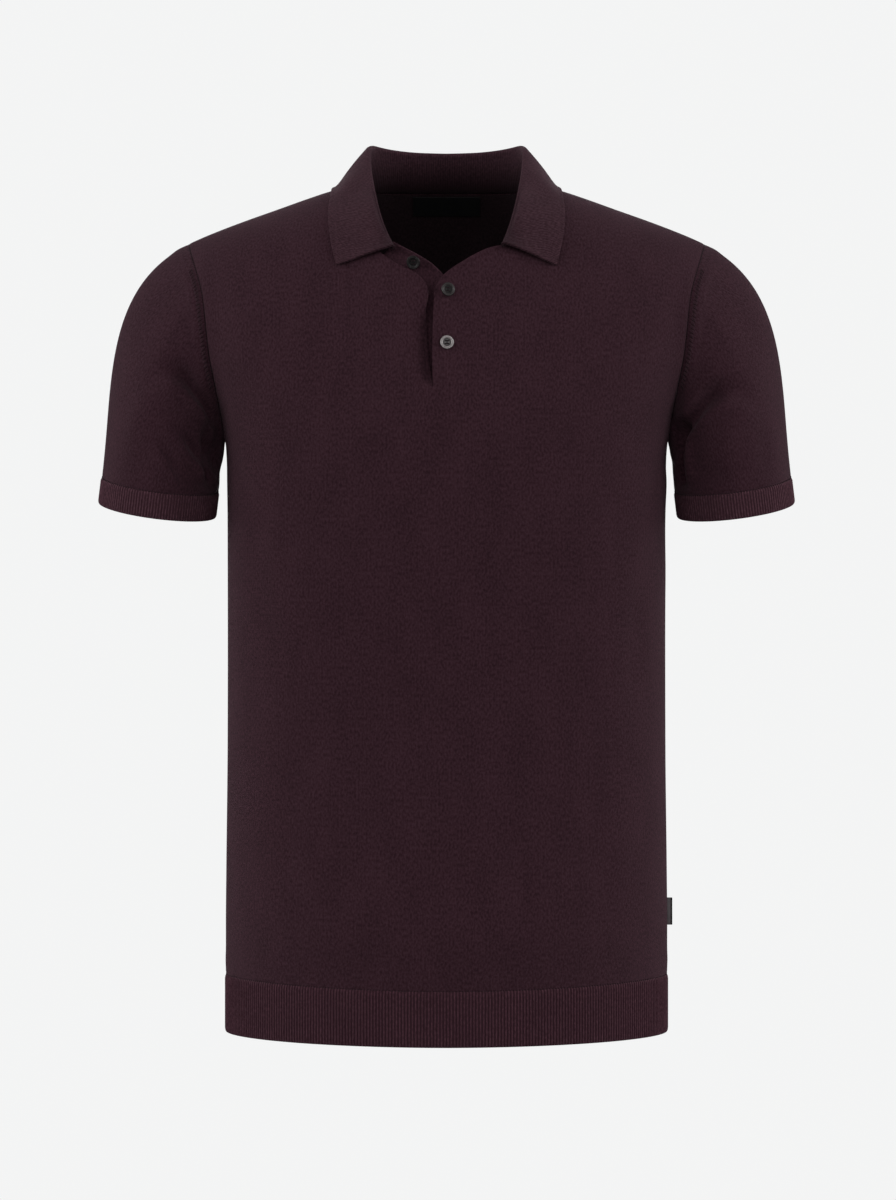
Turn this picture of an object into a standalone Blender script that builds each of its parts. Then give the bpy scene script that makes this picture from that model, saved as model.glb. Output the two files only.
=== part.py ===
"""A short-sleeved knitted polo sweater, filled out and hollow, as a worn garment hangs.

Metres, +Z up, +X to the wearer's left, the front faces -Y. The origin lies between the
shoulders, at the height where the collar meets them, because the wearer's shoulders carry it.
Every piece that a maker knits, links or sews on is an object of its own.
"""

import math

import bmesh
import bpy
import numpy as np
from mathutils import Matrix, Vector
from mathutils.bvhtree import BVHTree

# Cloth.
JERSEY = 0.0014  # wall of the panels and sleeves
RIB_WALL = 0.0015  # wall of the ribbed bands between the ribs
RIB_RISE = 0.0006  # how far a rib stands out
RIB_PITCH = 0.00256  # one rib to the next
COLLAR_WALL = 0.0018
SEAM = 0.0003  # clear space between two pieces that are linked

# Heights.
HEM = -0.692  # lower edge of the hem band
HEM_SEAM = -0.6475  # where the band is linked to the panels, in the middle
HEM_SEAM_RISE = 0.0030  # how much higher that seam is at the sides
ARMPIT = -0.21
SLIT_END = -0.1691  # lower end of the front opening
SHOULDER_TIP = -0.0423

RISE = 0.30  # height over which the chest rounds back to the shoulder line, at the centre
RISE_LOSS = 3.0  # how much of that height is lost towards the shoulder tip, per square metre

# Where the columns of points lie, as shares of the way from the middle to the side. The
# front's are close together where they end on the neck's edge.
FRONT_COLUMNS = (
    0, 0.03, 0.07, 0.12, 0.17, 0.22, 0.27, 0.31, 0.34, 0.365, 0.385, 0.405, 0.43, 0.51, 0.61, 0.71, 0.81, 0.91, 1
)
BACK_COLUMNS = (0, 0.1, 0.2, 0.3, 0.39, 0.48, 0.57, 0.66, 0.75, 0.84, 0.92, 1)
# Heights of the panels' level rows of points, above the seam with the hem band.
LEVELS = (-0.625, -0.600, -0.565, -0.500, -0.420, -0.340, -0.270, -0.235, ARMPIT, -0.198, -0.185, SLIT_END)
HIGH_ROWS = 11  # rows of faces from there to the shoulder

COLOURS = {
    "jersey": (0.027, 0.0125, 0.0165),
    "rib": (0.028, 0.0135, 0.0175),
    "collar": (0.033, 0.0165, 0.0210),
    "button": (0.060, 0.050, 0.053),
    "label": (0.0045, 0.0045, 0.005),
    "tab": (0.085, 0.080, 0.085),
}
ROUGHNESS = {"jersey": 0.92, "rib": 0.92, "collar": 0.92, "button": 0.3, "label": 0.5, "tab": 0.6}


def table(names, *rows):
    """A table with named columns."""
    return dict(zip(names.split(), np.array(rows, float).T))


# The trunk, as if it had no armholes: half width, depth to the front and to the back of the
# middle plane, where that plane lies, and how square a level section is: 2 is an ellipse.
TRUNK = table(
    "z width front back middle square",
    (-0.692, 0.1820, 0.1210, 0.1050, 0.000, 1.85),
    (-0.646, 0.1820, 0.1210, 0.1050, 0.000, 1.85),
    (-0.605, 0.1820, 0.1240, 0.1080, 0.000, 1.98),
    (-0.560, 0.1816, 0.1210, 0.1050, 0.000, 2.08),
    (-0.450, 0.1804, 0.1180, 0.0980, 0.000, 2.20),
    (-0.360, 0.1802, 0.1200, 0.1020, 0.000, 2.30),
    (-0.270, 0.1803, 0.1240, 0.1090, 0.000, 2.40),
    (-0.235, 0.1808, 0.1248, 0.1108, 0.000, 2.43),
    (-0.210, 0.1819, 0.1250, 0.1120, 0.000, 2.45),
    (-0.190, 0.1850, 0.1250, 0.1130, 0.001, 2.46),
    (-0.168, 0.1918, 0.1250, 0.1140, 0.003, 2.48),
    (-0.139, 0.2030, 0.1250, 0.1150, 0.006, 2.50),
    (-0.087, 0.2140, 0.1250, 0.1150, 0.009, 2.50),
    (-0.045, 0.2190, 0.1250, 0.1150, 0.010, 2.50),
    (0.040, 0.2300, 0.1250, 0.1150, 0.010, 2.50),
)

# The shoulder seam, outwards from the neck.
SHOULDER = table(
    "x z",
    (0.0000, 0.0360),
    (0.0420, 0.0280),
    (0.0840, 0.0046),
    (0.0965, 0.0011),
    (0.1163, -0.0055),
    (0.1395, -0.0138),
    (0.1631, -0.0221),
    (0.1854, -0.0304),
    (0.2065, -0.0390),
    (0.2135, -0.0423),
    (0.2300, -0.0525),
)

# The armhole's edge, from the armpit up to the shoulder tip.
ARMHOLE = table(
    "z x",
    (-0.2100, 0.1819),
    (-0.1980, 0.1830),
    (-0.1729, 0.1868),
    (-0.1389, 0.1928),
    (-0.0873, 0.1993),
    (-0.0600, 0.2075),
    (-0.0423, 0.2135),
)

# Upper edges of the panels inside the shoulder seam.
NECK_BACK = table("x z", (0.0, 0.0060), (0.04, 0.0055), (0.066, 0.0050), (0.084, 0.0046))
NECK_LEFT = table(  # the front on the wearer's left, which laps over
    "x z",
    (-0.0101, -0.0935),
    (-0.0092, -0.0880),
    (-0.0068, -0.0830),
    (-0.0026, -0.0771),
    (0.0050, -0.0707),
    (0.0135, -0.0652),
    (0.0215, -0.0602),
    (0.0358, -0.0537),
    (0.0460, -0.0515),
    (0.0550, -0.0500),
    (0.0630, -0.0450),
    (0.0710, -0.0340),
    (0.0780, -0.0180),
    (0.0820, -0.0080),
    (0.0840, 0.0046),
)
NECK_RIGHT = table(  # the front on the wearer's right, under it
    "x z",
    (0.0142, -0.0905),
    (0.0150, -0.0868),
    (0.0167, -0.0832),
    (0.0200, -0.0791),
    (0.0249, -0.0752),
    (0.0320, -0.0714),
    (0.0410, -0.0665),
    (0.0499, -0.0603),
    (0.0630, -0.0450),
    (0.0710, -0.0340),
    (0.0780, -0.0180),
    (0.0820, -0.0080),
    (0.0840, 0.0046),
)

# The upright edges of the opening, below the V.
OPENING = table(
    "z left right",
    (-0.692, -0.0108, -0.0108),
    (-0.1691, -0.0108, -0.0108),
    (-0.1446, -0.0114, -0.0141),
    (-0.1217, -0.0110, -0.0161),
    (-0.1064, -0.0105, -0.0169),
    (-0.0976, -0.0102, -0.0150),
    (-0.0905, -0.0101, -0.0142),
)

# The collar, from the back's centre to a front end: the linked edge on the neck, the fold and
# the free edge of the fall. The linked and free edges lie on the trunk, so they need no depth.
COLLAR = table(
    "neck_x neck_z side fold_x fold_y fold_z free_x free_z",
    (0.000, 0.0060, 1, 0.0000, 0.0550, 0.0372, 0.0000, -0.0120),
    (0.035, 0.0056, 1, 0.0240, 0.0520, 0.0376, 0.0320, -0.0118),
    (0.062, 0.0050, 1, 0.0450, 0.0410, 0.0386, 0.0610, -0.0110),
    (0.078, 0.0047, 1, 0.0595, 0.0240, 0.0400, 0.0840, -0.0080),
    (0.084, 0.0046, 0, 0.0640, 0.0030, 0.0350, 0.0925, 0.0000),
    (0.082, -0.0080, -1, 0.0625, -0.0190, 0.0180, 0.0943, -0.0105),
    (0.078, -0.0180, -1, 0.0586, -0.0430, -0.0050, 0.0956, -0.0220),
    (0.071, -0.0340, -1, 0.0530, -0.0650, -0.0280, 0.0946, -0.0370),
    (0.063, -0.0450, -1, 0.0470, -0.0810, -0.0440, 0.0918, -0.0530),
    (0.0475, -0.0515, -1, 0.0418, -0.0945, -0.0545, 0.0876, -0.0690),
)
COLLAR_END_SHIFT = {-1: (0.0, 0.0), 1: (0.0030, 0.0024)}  # the fold's own shift in x and z
NECK_CLEAR = SEAM + COLLAR_WALL / 2 + 0.0006  # from the panels' edge to the middle of the stand
COLLAR_STEPS = 16  # columns of faces from the back's centre to a front end
FOLD_RADIUS = 0.0017  # of the middle of the wall, over the fold
FALL_SWELL = 0.0018  # how far the fall swells between the fold and its free edge
FALL_CLEAR = 0.0021  # from the trunk to the middle of the fall's wall

# The button stand: its two edges, from below the opening's end up and round to the neck.
UNDERLAP = table(
    "outer_x outer_z inner_x inner_z",
    (0.0130, -0.1740, -0.0170, -0.1740),
    (0.0130, -0.1450, -0.0200, -0.1450),
    (0.0130, -0.1150, -0.0225, -0.1150),
    (0.0120, -0.0960, -0.0225, -0.0980),
    (0.0075, -0.0845, -0.0235, -0.0890),
    (-0.0015, -0.0765, -0.0275, -0.0830),
    (-0.0115, -0.0665, -0.0350, -0.0775),
    (-0.0234, -0.0586, -0.0430, -0.0725),
    (-0.0355, -0.0520, -0.0500, -0.0670),
)
UNDERLAP_DEPTH = JERSEY + 0.0011  # how far it lies inside the front's outer face
UNDERLAP_WALL = 0.0016

# The sleeve: how the cloth leaves the armhole, clockwise from the shoulder over the front.
SLEEVE_START = table(
    "turn out forward down",
    (0.000, 0.214, 0.000, 0.106),
    (0.125, 0.110, 0.020, 0.085),
    (0.250, 0.062, 0.014, 0.070),
    (0.375, 0.030, 0.004, 0.050),
    (0.500, 0.014, 0.000, 0.030),
    (0.625, 0.030, -0.004, 0.050),
    (0.750, 0.062, -0.014, 0.070),
    (0.875, 0.110, -0.020, 0.085),
    (1.000, 0.214, 0.000, 0.106),
)
SLEEVE_SEAM = 0.00045  # clear space at the armhole, where the two walls meet at an angle
CUFF_EDGE = (0.2387, -0.0005, -0.2624)  # centre of the cuff's lower edge
CUFF_HALF = (0.0479, 0.0575)  # its half width and half depth
CUFF_SLOPE = (0.137, 0.145)  # how fast the edge's plane rises outwards and backwards
CUFF_HEIGHT = 0.0215
SLEEVE_AIM = (0.12, 0.0, -0.99)  # the way the cloth runs into the cuff
SLEEVE_ROWS = 9
CUFF_RIBS = 130

# The largest folds of a sleeve: where round the tube and how far down it lies, which way it
# runs, how long and wide it is, and how deep.
SLEEVE_FOLDS = table(
    "turn along slope length width depth",
    (0.335, 0.42, 0.30, 0.30, 0.030, 0.0050),
    (0.415, 0.55, 0.10, 0.32, 0.024, 0.0045),
    (0.245, 0.60, 0.35, 0.22, 0.035, 0.0022),
    (0.665, 0.42, -0.30, 0.30, 0.032, 0.0045),
    (0.590, 0.58, -0.10, 0.30, 0.026, 0.0035),
)

BUTTON_RADIUS = 0.0056
BUTTON_THICK = 0.0022
BUTTON_RIM = 0.0009  # width of the raised rim
BUTTON_DISH = 0.0006  # how far the middle lies below the rim
BUTTON_HOLE = 0.00075
BUTTON_HOLE_OFFSET = 0.0012
BUTTON_LIFT = 0.0004  # clear space under a button
BUTTON_SEGMENTS = 20
# Where each button lies, what it lies on, and how far it leans to the side and forward.
BUTTONS = {
    "button_1": (-0.0255, -0.0660, "underlap", -12.0, 16.0),
    "button_2": (0.0009, -0.0897, "front", 16.0, 8.0),
    "button_3": (0.0004, -0.1320, "front", 0.0, 2.0),
}

LABEL_SIZE = (0.0565, 0.0150)
LABEL_TOP = 0.0030
LABEL_WALL = 0.0005
TAB_SIZE = (0.0046, 0.0011, 0.0225)
TAB_TOP = -0.5820


def smooth(at, xs, ys):
    """A smooth curve through a table's rows that never passes its highest or lowest value."""
    step = np.diff(xs)
    slope = np.diff(ys) / step
    lean = np.zeros_like(ys)
    lean[0], lean[-1] = slope[0], slope[-1]
    before, after = slope[:-1], slope[1:]
    turns = before * after <= 0
    weight_a, weight_b = 2 * step[1:] + step[:-1], step[1:] + 2 * step[:-1]
    safe_before, safe_after = np.where(turns, 1, before), np.where(turns, 1, after)
    mean = (weight_a + weight_b) / (weight_a / safe_before + weight_b / safe_after)
    lean[1:-1] = np.where(turns, 0, mean)
    at = np.clip(at, xs[0], xs[-1])
    i = np.clip(np.searchsorted(xs, at, side="right") - 1, 0, len(step) - 1)
    t, h = (at - xs[i]) / step[i], step[i]
    start = (1 + 2 * t) * (1 - t) ** 2 * ys[i] + t * (1 - t) ** 2 * h * lean[i]
    return start + t * t * (3 - 2 * t) * ys[i + 1] + t * t * (t - 1) * h * lean[i + 1]


def trunk_y(x, z, side):
    """The depth of the trunk's outer face: side is -1 for the front and 1 for the back."""
    across = np.abs(x)
    width = smooth(z, TRUNK["z"], TRUNK["width"])
    depth = smooth(z, TRUNK["z"], TRUNK["front" if side < 0 else "back"])
    middle = smooth(z, TRUNK["z"], TRUNK["middle"])
    square = smooth(z, TRUNK["z"], TRUNK["square"])
    flat = np.clip(1 - (across / width) ** square, 0, 1) ** (1 / square)
    rise = RISE - RISE_LOSS * across**2
    below = np.clip((smooth(across, SHOULDER["x"], SHOULDER["z"]) - z) / rise, 0, 1)
    return middle + side * depth * flat * np.sqrt(1 - (1 - below) ** 3)


def trunk_edge(z):
    """Half the width of a panel: to the side seam, and above the armpit to the armhole."""
    seam = smooth(z, TRUNK["z"], TRUNK["width"])
    return np.where(z < ARMPIT, seam, smooth(z, ARMHOLE["z"], ARMHOLE["x"]))


def spaced(line, shares):
    """Points of a line at the given shares of its length, or at that many even steps."""
    along = np.r_[0, np.cumsum(np.linalg.norm(np.diff(line, axis=0), axis=1))]
    at = np.linspace(0, 1, shares + 1) if isinstance(shares, int) else np.array(shares)
    return np.stack([np.interp(at * along[-1], along, line[:, k]) for k in range(3)], axis=1)


def section(z, side, start, end, trim=0.0):
    """A fine line of points along a level section from x = start to x = end."""
    width = float(smooth(z, TRUNK["z"], TRUNK["width"]))
    square = float(smooth(z, TRUNK["z"], TRUNK["square"]))
    turns = [math.copysign(math.asin(min(1, (abs(x) / width) ** (square / 2))), x) for x in (start, end)]
    turn = np.linspace(*turns, 300)
    x = np.sign(turn) * width * np.abs(np.sin(turn)) ** (2 / square)
    line = np.stack([x, trunk_y(x, np.full_like(x, z), side), np.full_like(x, z)], axis=1)
    return shortened(line, trim) if trim else line


def shortened(line, trim):
    """A line of points without its last trim metres."""
    along = np.r_[0, np.cumsum(np.linalg.norm(np.diff(line, axis=0), axis=1))]
    last = along[-1] - trim
    keep = along < last
    end = [np.interp(last, along, line[:, k]) for k in range(3)]
    return np.vstack([line[keep], end])


def hem_seam(x):
    """The height of the seam between a panel and the hem band."""
    return HEM_SEAM + HEM_SEAM_RISE * (x / TRUNK["width"][0]) ** 2


def panel_half(side, hand, opening, neck, shares, levels=LEVELS, high_rows=HIGH_ROWS):
    """A grid of points over half a panel, from its inner edge to the side, bottom to top.

    hand is 1 for the wearer's left and -1 for the right. Rows below the end of the opening are
    level but for the lowest ones, which follow the hem band. Above it each column runs up to
    the shoulder seam or the neck's edge.
    """

    def upper_edge(x):
        shoulder = smooth(x, SHOULDER["x"], SHOULDER["z"])
        return float(np.where(x < neck["x"][-1], np.interp(x, neck["x"], neck["z"]), shoulder))

    rows = []
    for z in (HEM_SEAM, *levels):
        step = (z - HEM_SEAM) / (SLIT_END - HEM_SEAM)
        trim = SEAM / 2 if z <= ARMPIT else 0.0
        row = spaced(section(z, side, opening(z) * hand, float(trunk_edge(z)), trim), shares)
        row[:, 2] += (hem_seam(row[:, 0]) - HEM_SEAM + SEAM) * (1 - step) ** 3
        row[:-1, 1] = trunk_y(row[:-1, 0], row[:-1, 2], side)
        rows.append(row)
    share = (rows[-1][:, 0] - rows[-1][0, 0]) / (rows[-1][-1, 0] - rows[-1][0, 0])
    columns = []
    for part in share:

        def across(z, part=part):
            inner = opening(z) * hand
            return inner + part * (trunk_edge(z) - inner)

        top = upper_edge(across(SLIT_END))
        for _ in range(30):
            top = 0.5 * top + 0.5 * upper_edge(across(top))
        z = top - (top - SLIT_END) * np.linspace(1, 0, 90) ** 2
        x = across(z)
        line = np.stack([x, trunk_y(x, z, side), z], axis=1)
        columns.append(spaced(shortened(line, SEAM / 2), high_rows))
    grid = np.concatenate([np.array(rows), np.stack(columns, axis=1)[1:]])
    return grid * (hand, 1, 1)


def on_middle_seam(grid):
    """Which of a panel's points lie on the side seam or the shoulder seam."""
    seam = np.zeros(grid.shape[:2], bool)
    seam[:, -1] = grid[:, -1, 2] < ARMPIT + SEAM
    seam[-1] = np.abs(grid[-1, :, 0]) > NECK_BACK["x"][-1] - 0.002
    return seam


def opening_edge(column):
    return lambda z: smooth(z, OPENING["z"], OPENING[column])


def sheet_normals(grid, tube=False):
    """The unit normals of a grid of points, and of its edges as well as its middle."""
    wide = np.concatenate([grid[:, -2:-1], grid, grid[:, 1:2]], axis=1) if tube else grid
    along = np.gradient(wide, axis=1, edge_order=2)
    if tube:
        along = along[:, 1:-1]
    up = np.gradient(grid, axis=0, edge_order=2)
    normal = np.cross(along, up)
    return normal / np.maximum(np.linalg.norm(normal, axis=2, keepdims=True), 1e-12)


def squared(normals, where, way):
    """Normals turned square to a seam's direction, so that the two walls there stay parallel."""
    way = np.array(way, float) / np.linalg.norm(way)
    flat = normals - (normals @ way)[..., None] * way
    flat /= np.linalg.norm(flat, axis=2, keepdims=True)
    return np.where(where[..., None], flat, normals)


def add_sheet(bm, grid, normals):
    """Lays a grid of faces on the points, and keeps each point's outward normal with it."""
    keep = bm.verts.layers.float_vector.get("out") or bm.verts.layers.float_vector.new("out")
    rows, columns = grid.shape[:2]
    made = bmesh.ops.create_grid(bm, x_segments=columns - 1, y_segments=rows - 1, size=0.5)
    for vert in made["verts"]:
        i = round((vert.co.y + 0.5) * (rows - 1))
        j = round((vert.co.x + 0.5) * (columns - 1))
        vert.co = grid[i, j]
        vert[keep] = normals[i, j]


def thicken(bm, wall, merge=0.00002):
    """Gives a sheet its wall, inwards from its outer face."""
    bmesh.ops.remove_doubles(bm, verts=bm.verts[:], dist=merge)
    keep = bm.verts.layers.float_vector["out"]
    made = bmesh.ops.extrude_face_region(bm, geom=bm.faces[:], use_keep_orig=True)
    for vert in (item for item in made["geom"] if isinstance(item, bmesh.types.BMVert)):
        vert.co -= wall * vert[keep]
    bmesh.ops.recalc_face_normals(bm, faces=bm.faces[:])


def material(name):
    made = bpy.data.materials.get(name) or bpy.data.materials.new(name)
    made.use_nodes = True
    shader = made.node_tree.nodes["Principled BSDF"]
    shader.inputs["Base Color"].default_value = (*COLOURS[name], 1)
    shader.inputs["Roughness"].default_value = ROUGHNESS[name]
    return made


def add_object(name, bm, finish):
    mesh = bpy.data.meshes.new(name)
    bm.to_mesh(mesh)
    bm.free()
    mesh.materials.append(material(finish))
    mesh.shade_smooth()
    mesh.set_sharp_from_angle(angle=math.radians(50))
    made = bpy.data.objects.new(name, mesh)
    bpy.data.collections["polo_sweater"].objects.link(made)
    return made


def add_panel_half(bm, side, hand, column, neck, shares):
    edge = opening_edge(column) if column else (lambda z: z * 0)
    grid = panel_half(side, hand, edge, neck, shares)
    normals = squared(sheet_normals(grid) * hand * -side, on_middle_seam(grid), (0, 1, 0))
    add_sheet(bm, grid, normals)


def add_front(bm, shares):
    for hand, column, neck in ((1, "left", NECK_LEFT), (-1, "right", NECK_RIGHT)):
        add_panel_half(bm, -1, hand, column, neck, shares)


def add_back(bm, shares):
    for hand in (1, -1):
        add_panel_half(bm, 1, hand, None, NECK_BACK, shares)


def front_panel():
    bm = bmesh.new()
    add_front(bm, FRONT_COLUMNS)
    thicken(bm, JERSEY)
    return add_object("front_panel", bm, "jersey")


def back_panel():
    bm = bmesh.new()
    add_back(bm, BACK_COLUMNS)
    thicken(bm, JERSEY)
    return add_object("back_panel", bm, "jersey")


def ribbed_wall(bm, outer, inner, rise, closed):
    """A wall between two lines of points, swept from its lower to its upper edge.

    outer and inner each hold a lower and an upper line. Every second point of the outer lines
    stands out by rise, a vector for each point. The inside is plain.
    """
    ribbed = outer.copy()
    ribbed[:, ::2] += rise[:, ::2]
    loops = []
    for lines in (ribbed, inner):
        rings = []
        for line in lines:
            verts = [bm.verts.new(point) for point in line]
            pairs = list(zip(verts, verts[1:] + verts[:1])) if closed else list(zip(verts, verts[1:]))
            rings.append((verts, [bm.edges.new(pair) for pair in pairs]))
        bmesh.ops.bridge_loops(bm, edges=rings[0][1] + rings[1][1])
        loops.append(rings)
    for level in (0, 1):
        edges = loops[0][level][1] + loops[1][level][1]
        if not closed:
            ends = [(loops[0][level][0][k], loops[1][level][0][k]) for k in (0, -1)]
            edges += [bm.edges.get(pair) or bm.edges.new(pair) for pair in ends]
        bmesh.ops.triangle_fill(bm, use_beauty=True, edges=edges)
    bmesh.ops.holes_fill(bm, edges=[edge for edge in bm.edges if edge.is_boundary], sides=4)
    bmesh.ops.recalc_face_normals(bm, faces=bm.faces[:])


def band_line(z, side, inset, steps):
    """A line round half of the hem band, from side seam to side seam, and its way outwards."""
    half = section(z, side, 0, float(trunk_edge(z)), SEAM / 2)
    line = spaced(np.concatenate([half[:0:-1] * (-1, 1, 1), half]), steps)
    way = np.gradient(line, axis=0, edge_order=2)
    out = np.cross(way, (0, 0, -side)) * (1, 1, 0)
    out[[0, -1], 1] = 0
    out /= np.linalg.norm(out, axis=1, keepdims=True)
    return line - inset * out, out


def hem_rib(name, side):
    """One half of the hem band, between the side seams."""
    length = np.linalg.norm(np.diff(section(HEM, side, 0, float(trunk_edge(HEM))), axis=0), axis=1).sum()
    ribs = round(2 * length / RIB_PITCH)
    outer, rise, inner = [], [], []
    for z in (HEM, HEM_SEAM):
        for lines, inset, steps in ((outer, 0.0, 2 * ribs), (inner, RIB_WALL, 40)):
            line, out = band_line(z, side, inset, steps)
            if z == HEM_SEAM:
                line[:, 2] = hem_seam(line[:, 0])
            lines.append(line)
            if lines is outer:
                rise.append(out * RIB_RISE)
    bm = bmesh.new()
    ribbed_wall(bm, np.array(outer), np.array(inner), np.array(rise), False)
    return add_object(name, bm, "rib")


def armhole_loop():
    """The panels' own points round the wearer's left armhole: shoulder, front, armpit, back."""
    edges = []
    for side, column, neck in ((-1, "left", NECK_LEFT), (1, None, NECK_BACK)):
        inner = opening_edge(column) if column else (lambda z: z * 0)
        edge = panel_half(side, 1, inner, neck, (0, 1))[:, -1]
        edges.append(edge[edge[:, 2] > ARMPIT - 0.0001])
    front, back = edges[0][::-1], edges[1]
    tip, pit = (front[0] + back[-1]) / 2, (front[-1] + back[0]) / 2
    loop = np.vstack([tip, front[1:-1], pit, back[1:-1], tip])
    along = np.r_[0, np.cumsum(np.linalg.norm(np.diff(loop, axis=0), axis=1))]
    return loop, along / along[-1]


def cuff_ring(turn, lift=0.0, inset=0.0):
    """The cuff's outline: turn runs 0 to 1 from the outer side over the front."""
    angle = 2 * math.pi * turn
    x = CUFF_EDGE[0] + (CUFF_HALF[0] - inset) * np.cos(angle)
    y = CUFF_EDGE[1] - (CUFF_HALF[1] - inset) * np.sin(angle)
    z = CUFF_EDGE[2] + CUFF_SLOPE[0] * (x - CUFF_EDGE[0]) + CUFF_SLOPE[1] * (y - CUFF_EDGE[1])
    aim = np.array(SLEEVE_AIM) / np.linalg.norm(SLEEVE_AIM)
    return np.stack([x, y, z], axis=-1) - lift * aim


def fold_depth(turn, along, folds):
    """How deep the folds are at a place on the sleeve."""
    depth = turn * along * 0
    for k in range(len(folds["turn"])):
        line = folds["turn"][k] + folds["slope"][k] * (along - folds["along"][k]) * 0.3
        across = (turn - line) * 0.37 / folds["width"][k]
        ends = (along - folds["along"][k]) / folds["length"][k]
        depth += folds["depth"][k] * np.exp(-(across**2) * 2 - (ends**2) * 2)
    return depth


def sleeve_grid(rows):
    """Points over the wearer's left sleeve, from the armhole down to the cuff's seam."""
    start, turn = armhole_loop()
    end = cuff_ring(turn, CUFF_HEIGHT + SEAM)
    leave = np.stack(
        [
            smooth(turn, SLEEVE_START["turn"], SLEEVE_START["out"]),
            -smooth(turn, SLEEVE_START["turn"], SLEEVE_START["forward"]),
            -smooth(turn, SLEEVE_START["turn"], SLEEVE_START["down"]),
        ],
        axis=1,
    )
    reach = np.linalg.norm(end - start, axis=1, keepdims=True)
    arrive = np.array(SLEEVE_AIM) * reach * 1.1
    start = start + SLEEVE_SEAM * leave / np.linalg.norm(leave, axis=1, keepdims=True)
    t = np.linspace(0, 1, rows + 1)[:, None, None]
    near = (1 + 2 * t) * (1 - t) ** 2 * start + t * (1 - t) ** 2 * leave
    grid = near + t * t * (3 - 2 * t) * end + t * t * (t - 1) * arrive
    depth = fold_depth(turn[None, :], t[..., 0], SLEEVE_FOLDS) * np.sin(math.pi * t[..., 0]) ** 0.5
    return grid - sheet_normals(grid, True) * depth[..., None]


def sleeve(name, hand):
    bm = bmesh.new()
    grid = sleeve_grid(SLEEVE_ROWS)
    into_cuff = np.zeros(grid.shape[:2], bool)
    into_cuff[-1] = True
    normals = squared(sheet_normals(grid, True), into_cuff, (-CUFF_SLOPE[0], -CUFF_SLOPE[1], 1))
    add_sheet(bm, grid * (hand, 1, 1), normals * (hand, 1, 1))
    thicken(bm, JERSEY)
    return add_object(name, bm, "jersey")


def cuff(name, hand):
    bm = bmesh.new()
    outer_turn = np.arange(2 * CUFF_RIBS) / (2 * CUFF_RIBS)
    inner_turn = np.arange(28) / 28
    levels = (0.0, CUFF_HEIGHT)
    outer = np.array([cuff_ring(outer_turn, lift) for lift in levels])
    inner = np.array([cuff_ring(inner_turn, lift, RIB_WALL) for lift in levels])
    centre = outer.mean(axis=1, keepdims=True)
    rise = outer - centre
    rise *= RIB_RISE / np.linalg.norm(rise, axis=2, keepdims=True)
    flip = (hand, 1, 1)
    ribbed_wall(bm, outer * flip, inner * flip, rise * flip, True)
    return add_object(name, bm, "rib")


def collar_line(column, at):
    stations = np.arange(len(COLLAR["fold_x"]), dtype=float)
    return smooth(at, stations, COLLAR[column])


def on_trunk(x, z, side_share):
    """A point of the trunk's face, where side_share runs from -1, the front, to 1, the back."""
    front, back = trunk_y(x, z, -1), trunk_y(x, z, 1)
    return front + (back - front) * (side_share + 1) / 2


def collar_half(hand, steps, stand_rows, fold_rows, fall_rows, trunk):
    """Points over half of the collar, in the middle of its wall: rows from the neck's seam up
    the stand, over the fold and down the fall, columns from the back's centre to a front end."""
    at = np.linspace(0, len(COLLAR["fold_x"]) - 1, steps + 1)
    side = collar_line("side", at)
    to_end = np.clip((at - 6) / 3, 0, 1) ** 2
    shift_x, shift_z = (to_end * value for value in COLLAR_END_SHIFT[hand])
    neck_x, neck_z = collar_line("neck_x", at), collar_line("neck_z", at)
    way = np.gradient(np.stack([neck_x, neck_z], axis=1), axis=0)
    way /= np.linalg.norm(way, axis=1, keepdims=True)
    front_share = (1 - side) / 2
    off_x, off_z = front_share * way[:, 1], (1 - front_share) - front_share * way[:, 0]
    scale = NECK_CLEAR / np.hypot(off_x, off_z)
    neck_x, neck_z = neck_x + off_x * scale, neck_z + off_z * scale
    free_x, free_z = collar_line("free_x", at), collar_line("free_z", at)
    neck = np.stack([neck_x, on_trunk(neck_x, neck_z, side), neck_z], axis=1)
    free = np.stack([free_x, on_trunk(free_x, free_z, side), free_z], axis=1)
    fold_x, fold_z = collar_line("fold_x", at) + shift_x, collar_line("fold_z", at) + shift_z
    fold = np.stack([fold_x, collar_line("fold_y", at), fold_z], axis=1)
    up = fold - (neck + free) / 2
    up /= np.linalg.norm(up, axis=1, keepdims=True)
    out = np.cross(up, np.gradient(fold, axis=0))
    out /= np.linalg.norm(out, axis=1, keepdims=True)
    middle = fold - FOLD_RADIUS * up
    stand_top, fall_top = middle - FOLD_RADIUS * out, middle + FOLD_RADIUS * out
    rows = [neck + (stand_top - neck) * t for t in np.linspace(0, 1, stand_rows + 1)[:-1]]
    for angle in np.linspace(math.pi, 0, fold_rows + 1):
        rows.append(middle + FOLD_RADIUS * (math.cos(angle) * out + math.sin(angle) * up))
    for t in np.linspace(0, 1, fall_rows + 1)[1:]:
        swell = FALL_SWELL * 4 * t * (1 - t)
        row = fall_top + (free - fall_top) * t + swell * out
        rows.append(np.array([lifted(trunk, point * (hand, 1, 1), FALL_CLEAR + COLLAR_WALL / 2) for point in row]))
    grid = np.array(rows)
    grid[: stand_rows + fold_rows + 1] *= (hand, 1, 1)
    return grid


def lifted(tree, point, clear):
    """The point moved out of the trunk until it is clear of its outer face."""
    place, normal, _, _ = tree.find_nearest(Vector(point))
    height = (Vector(point) - place).dot(normal)
    return Vector(point) + normal * max(0.0, clear - height)


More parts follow.
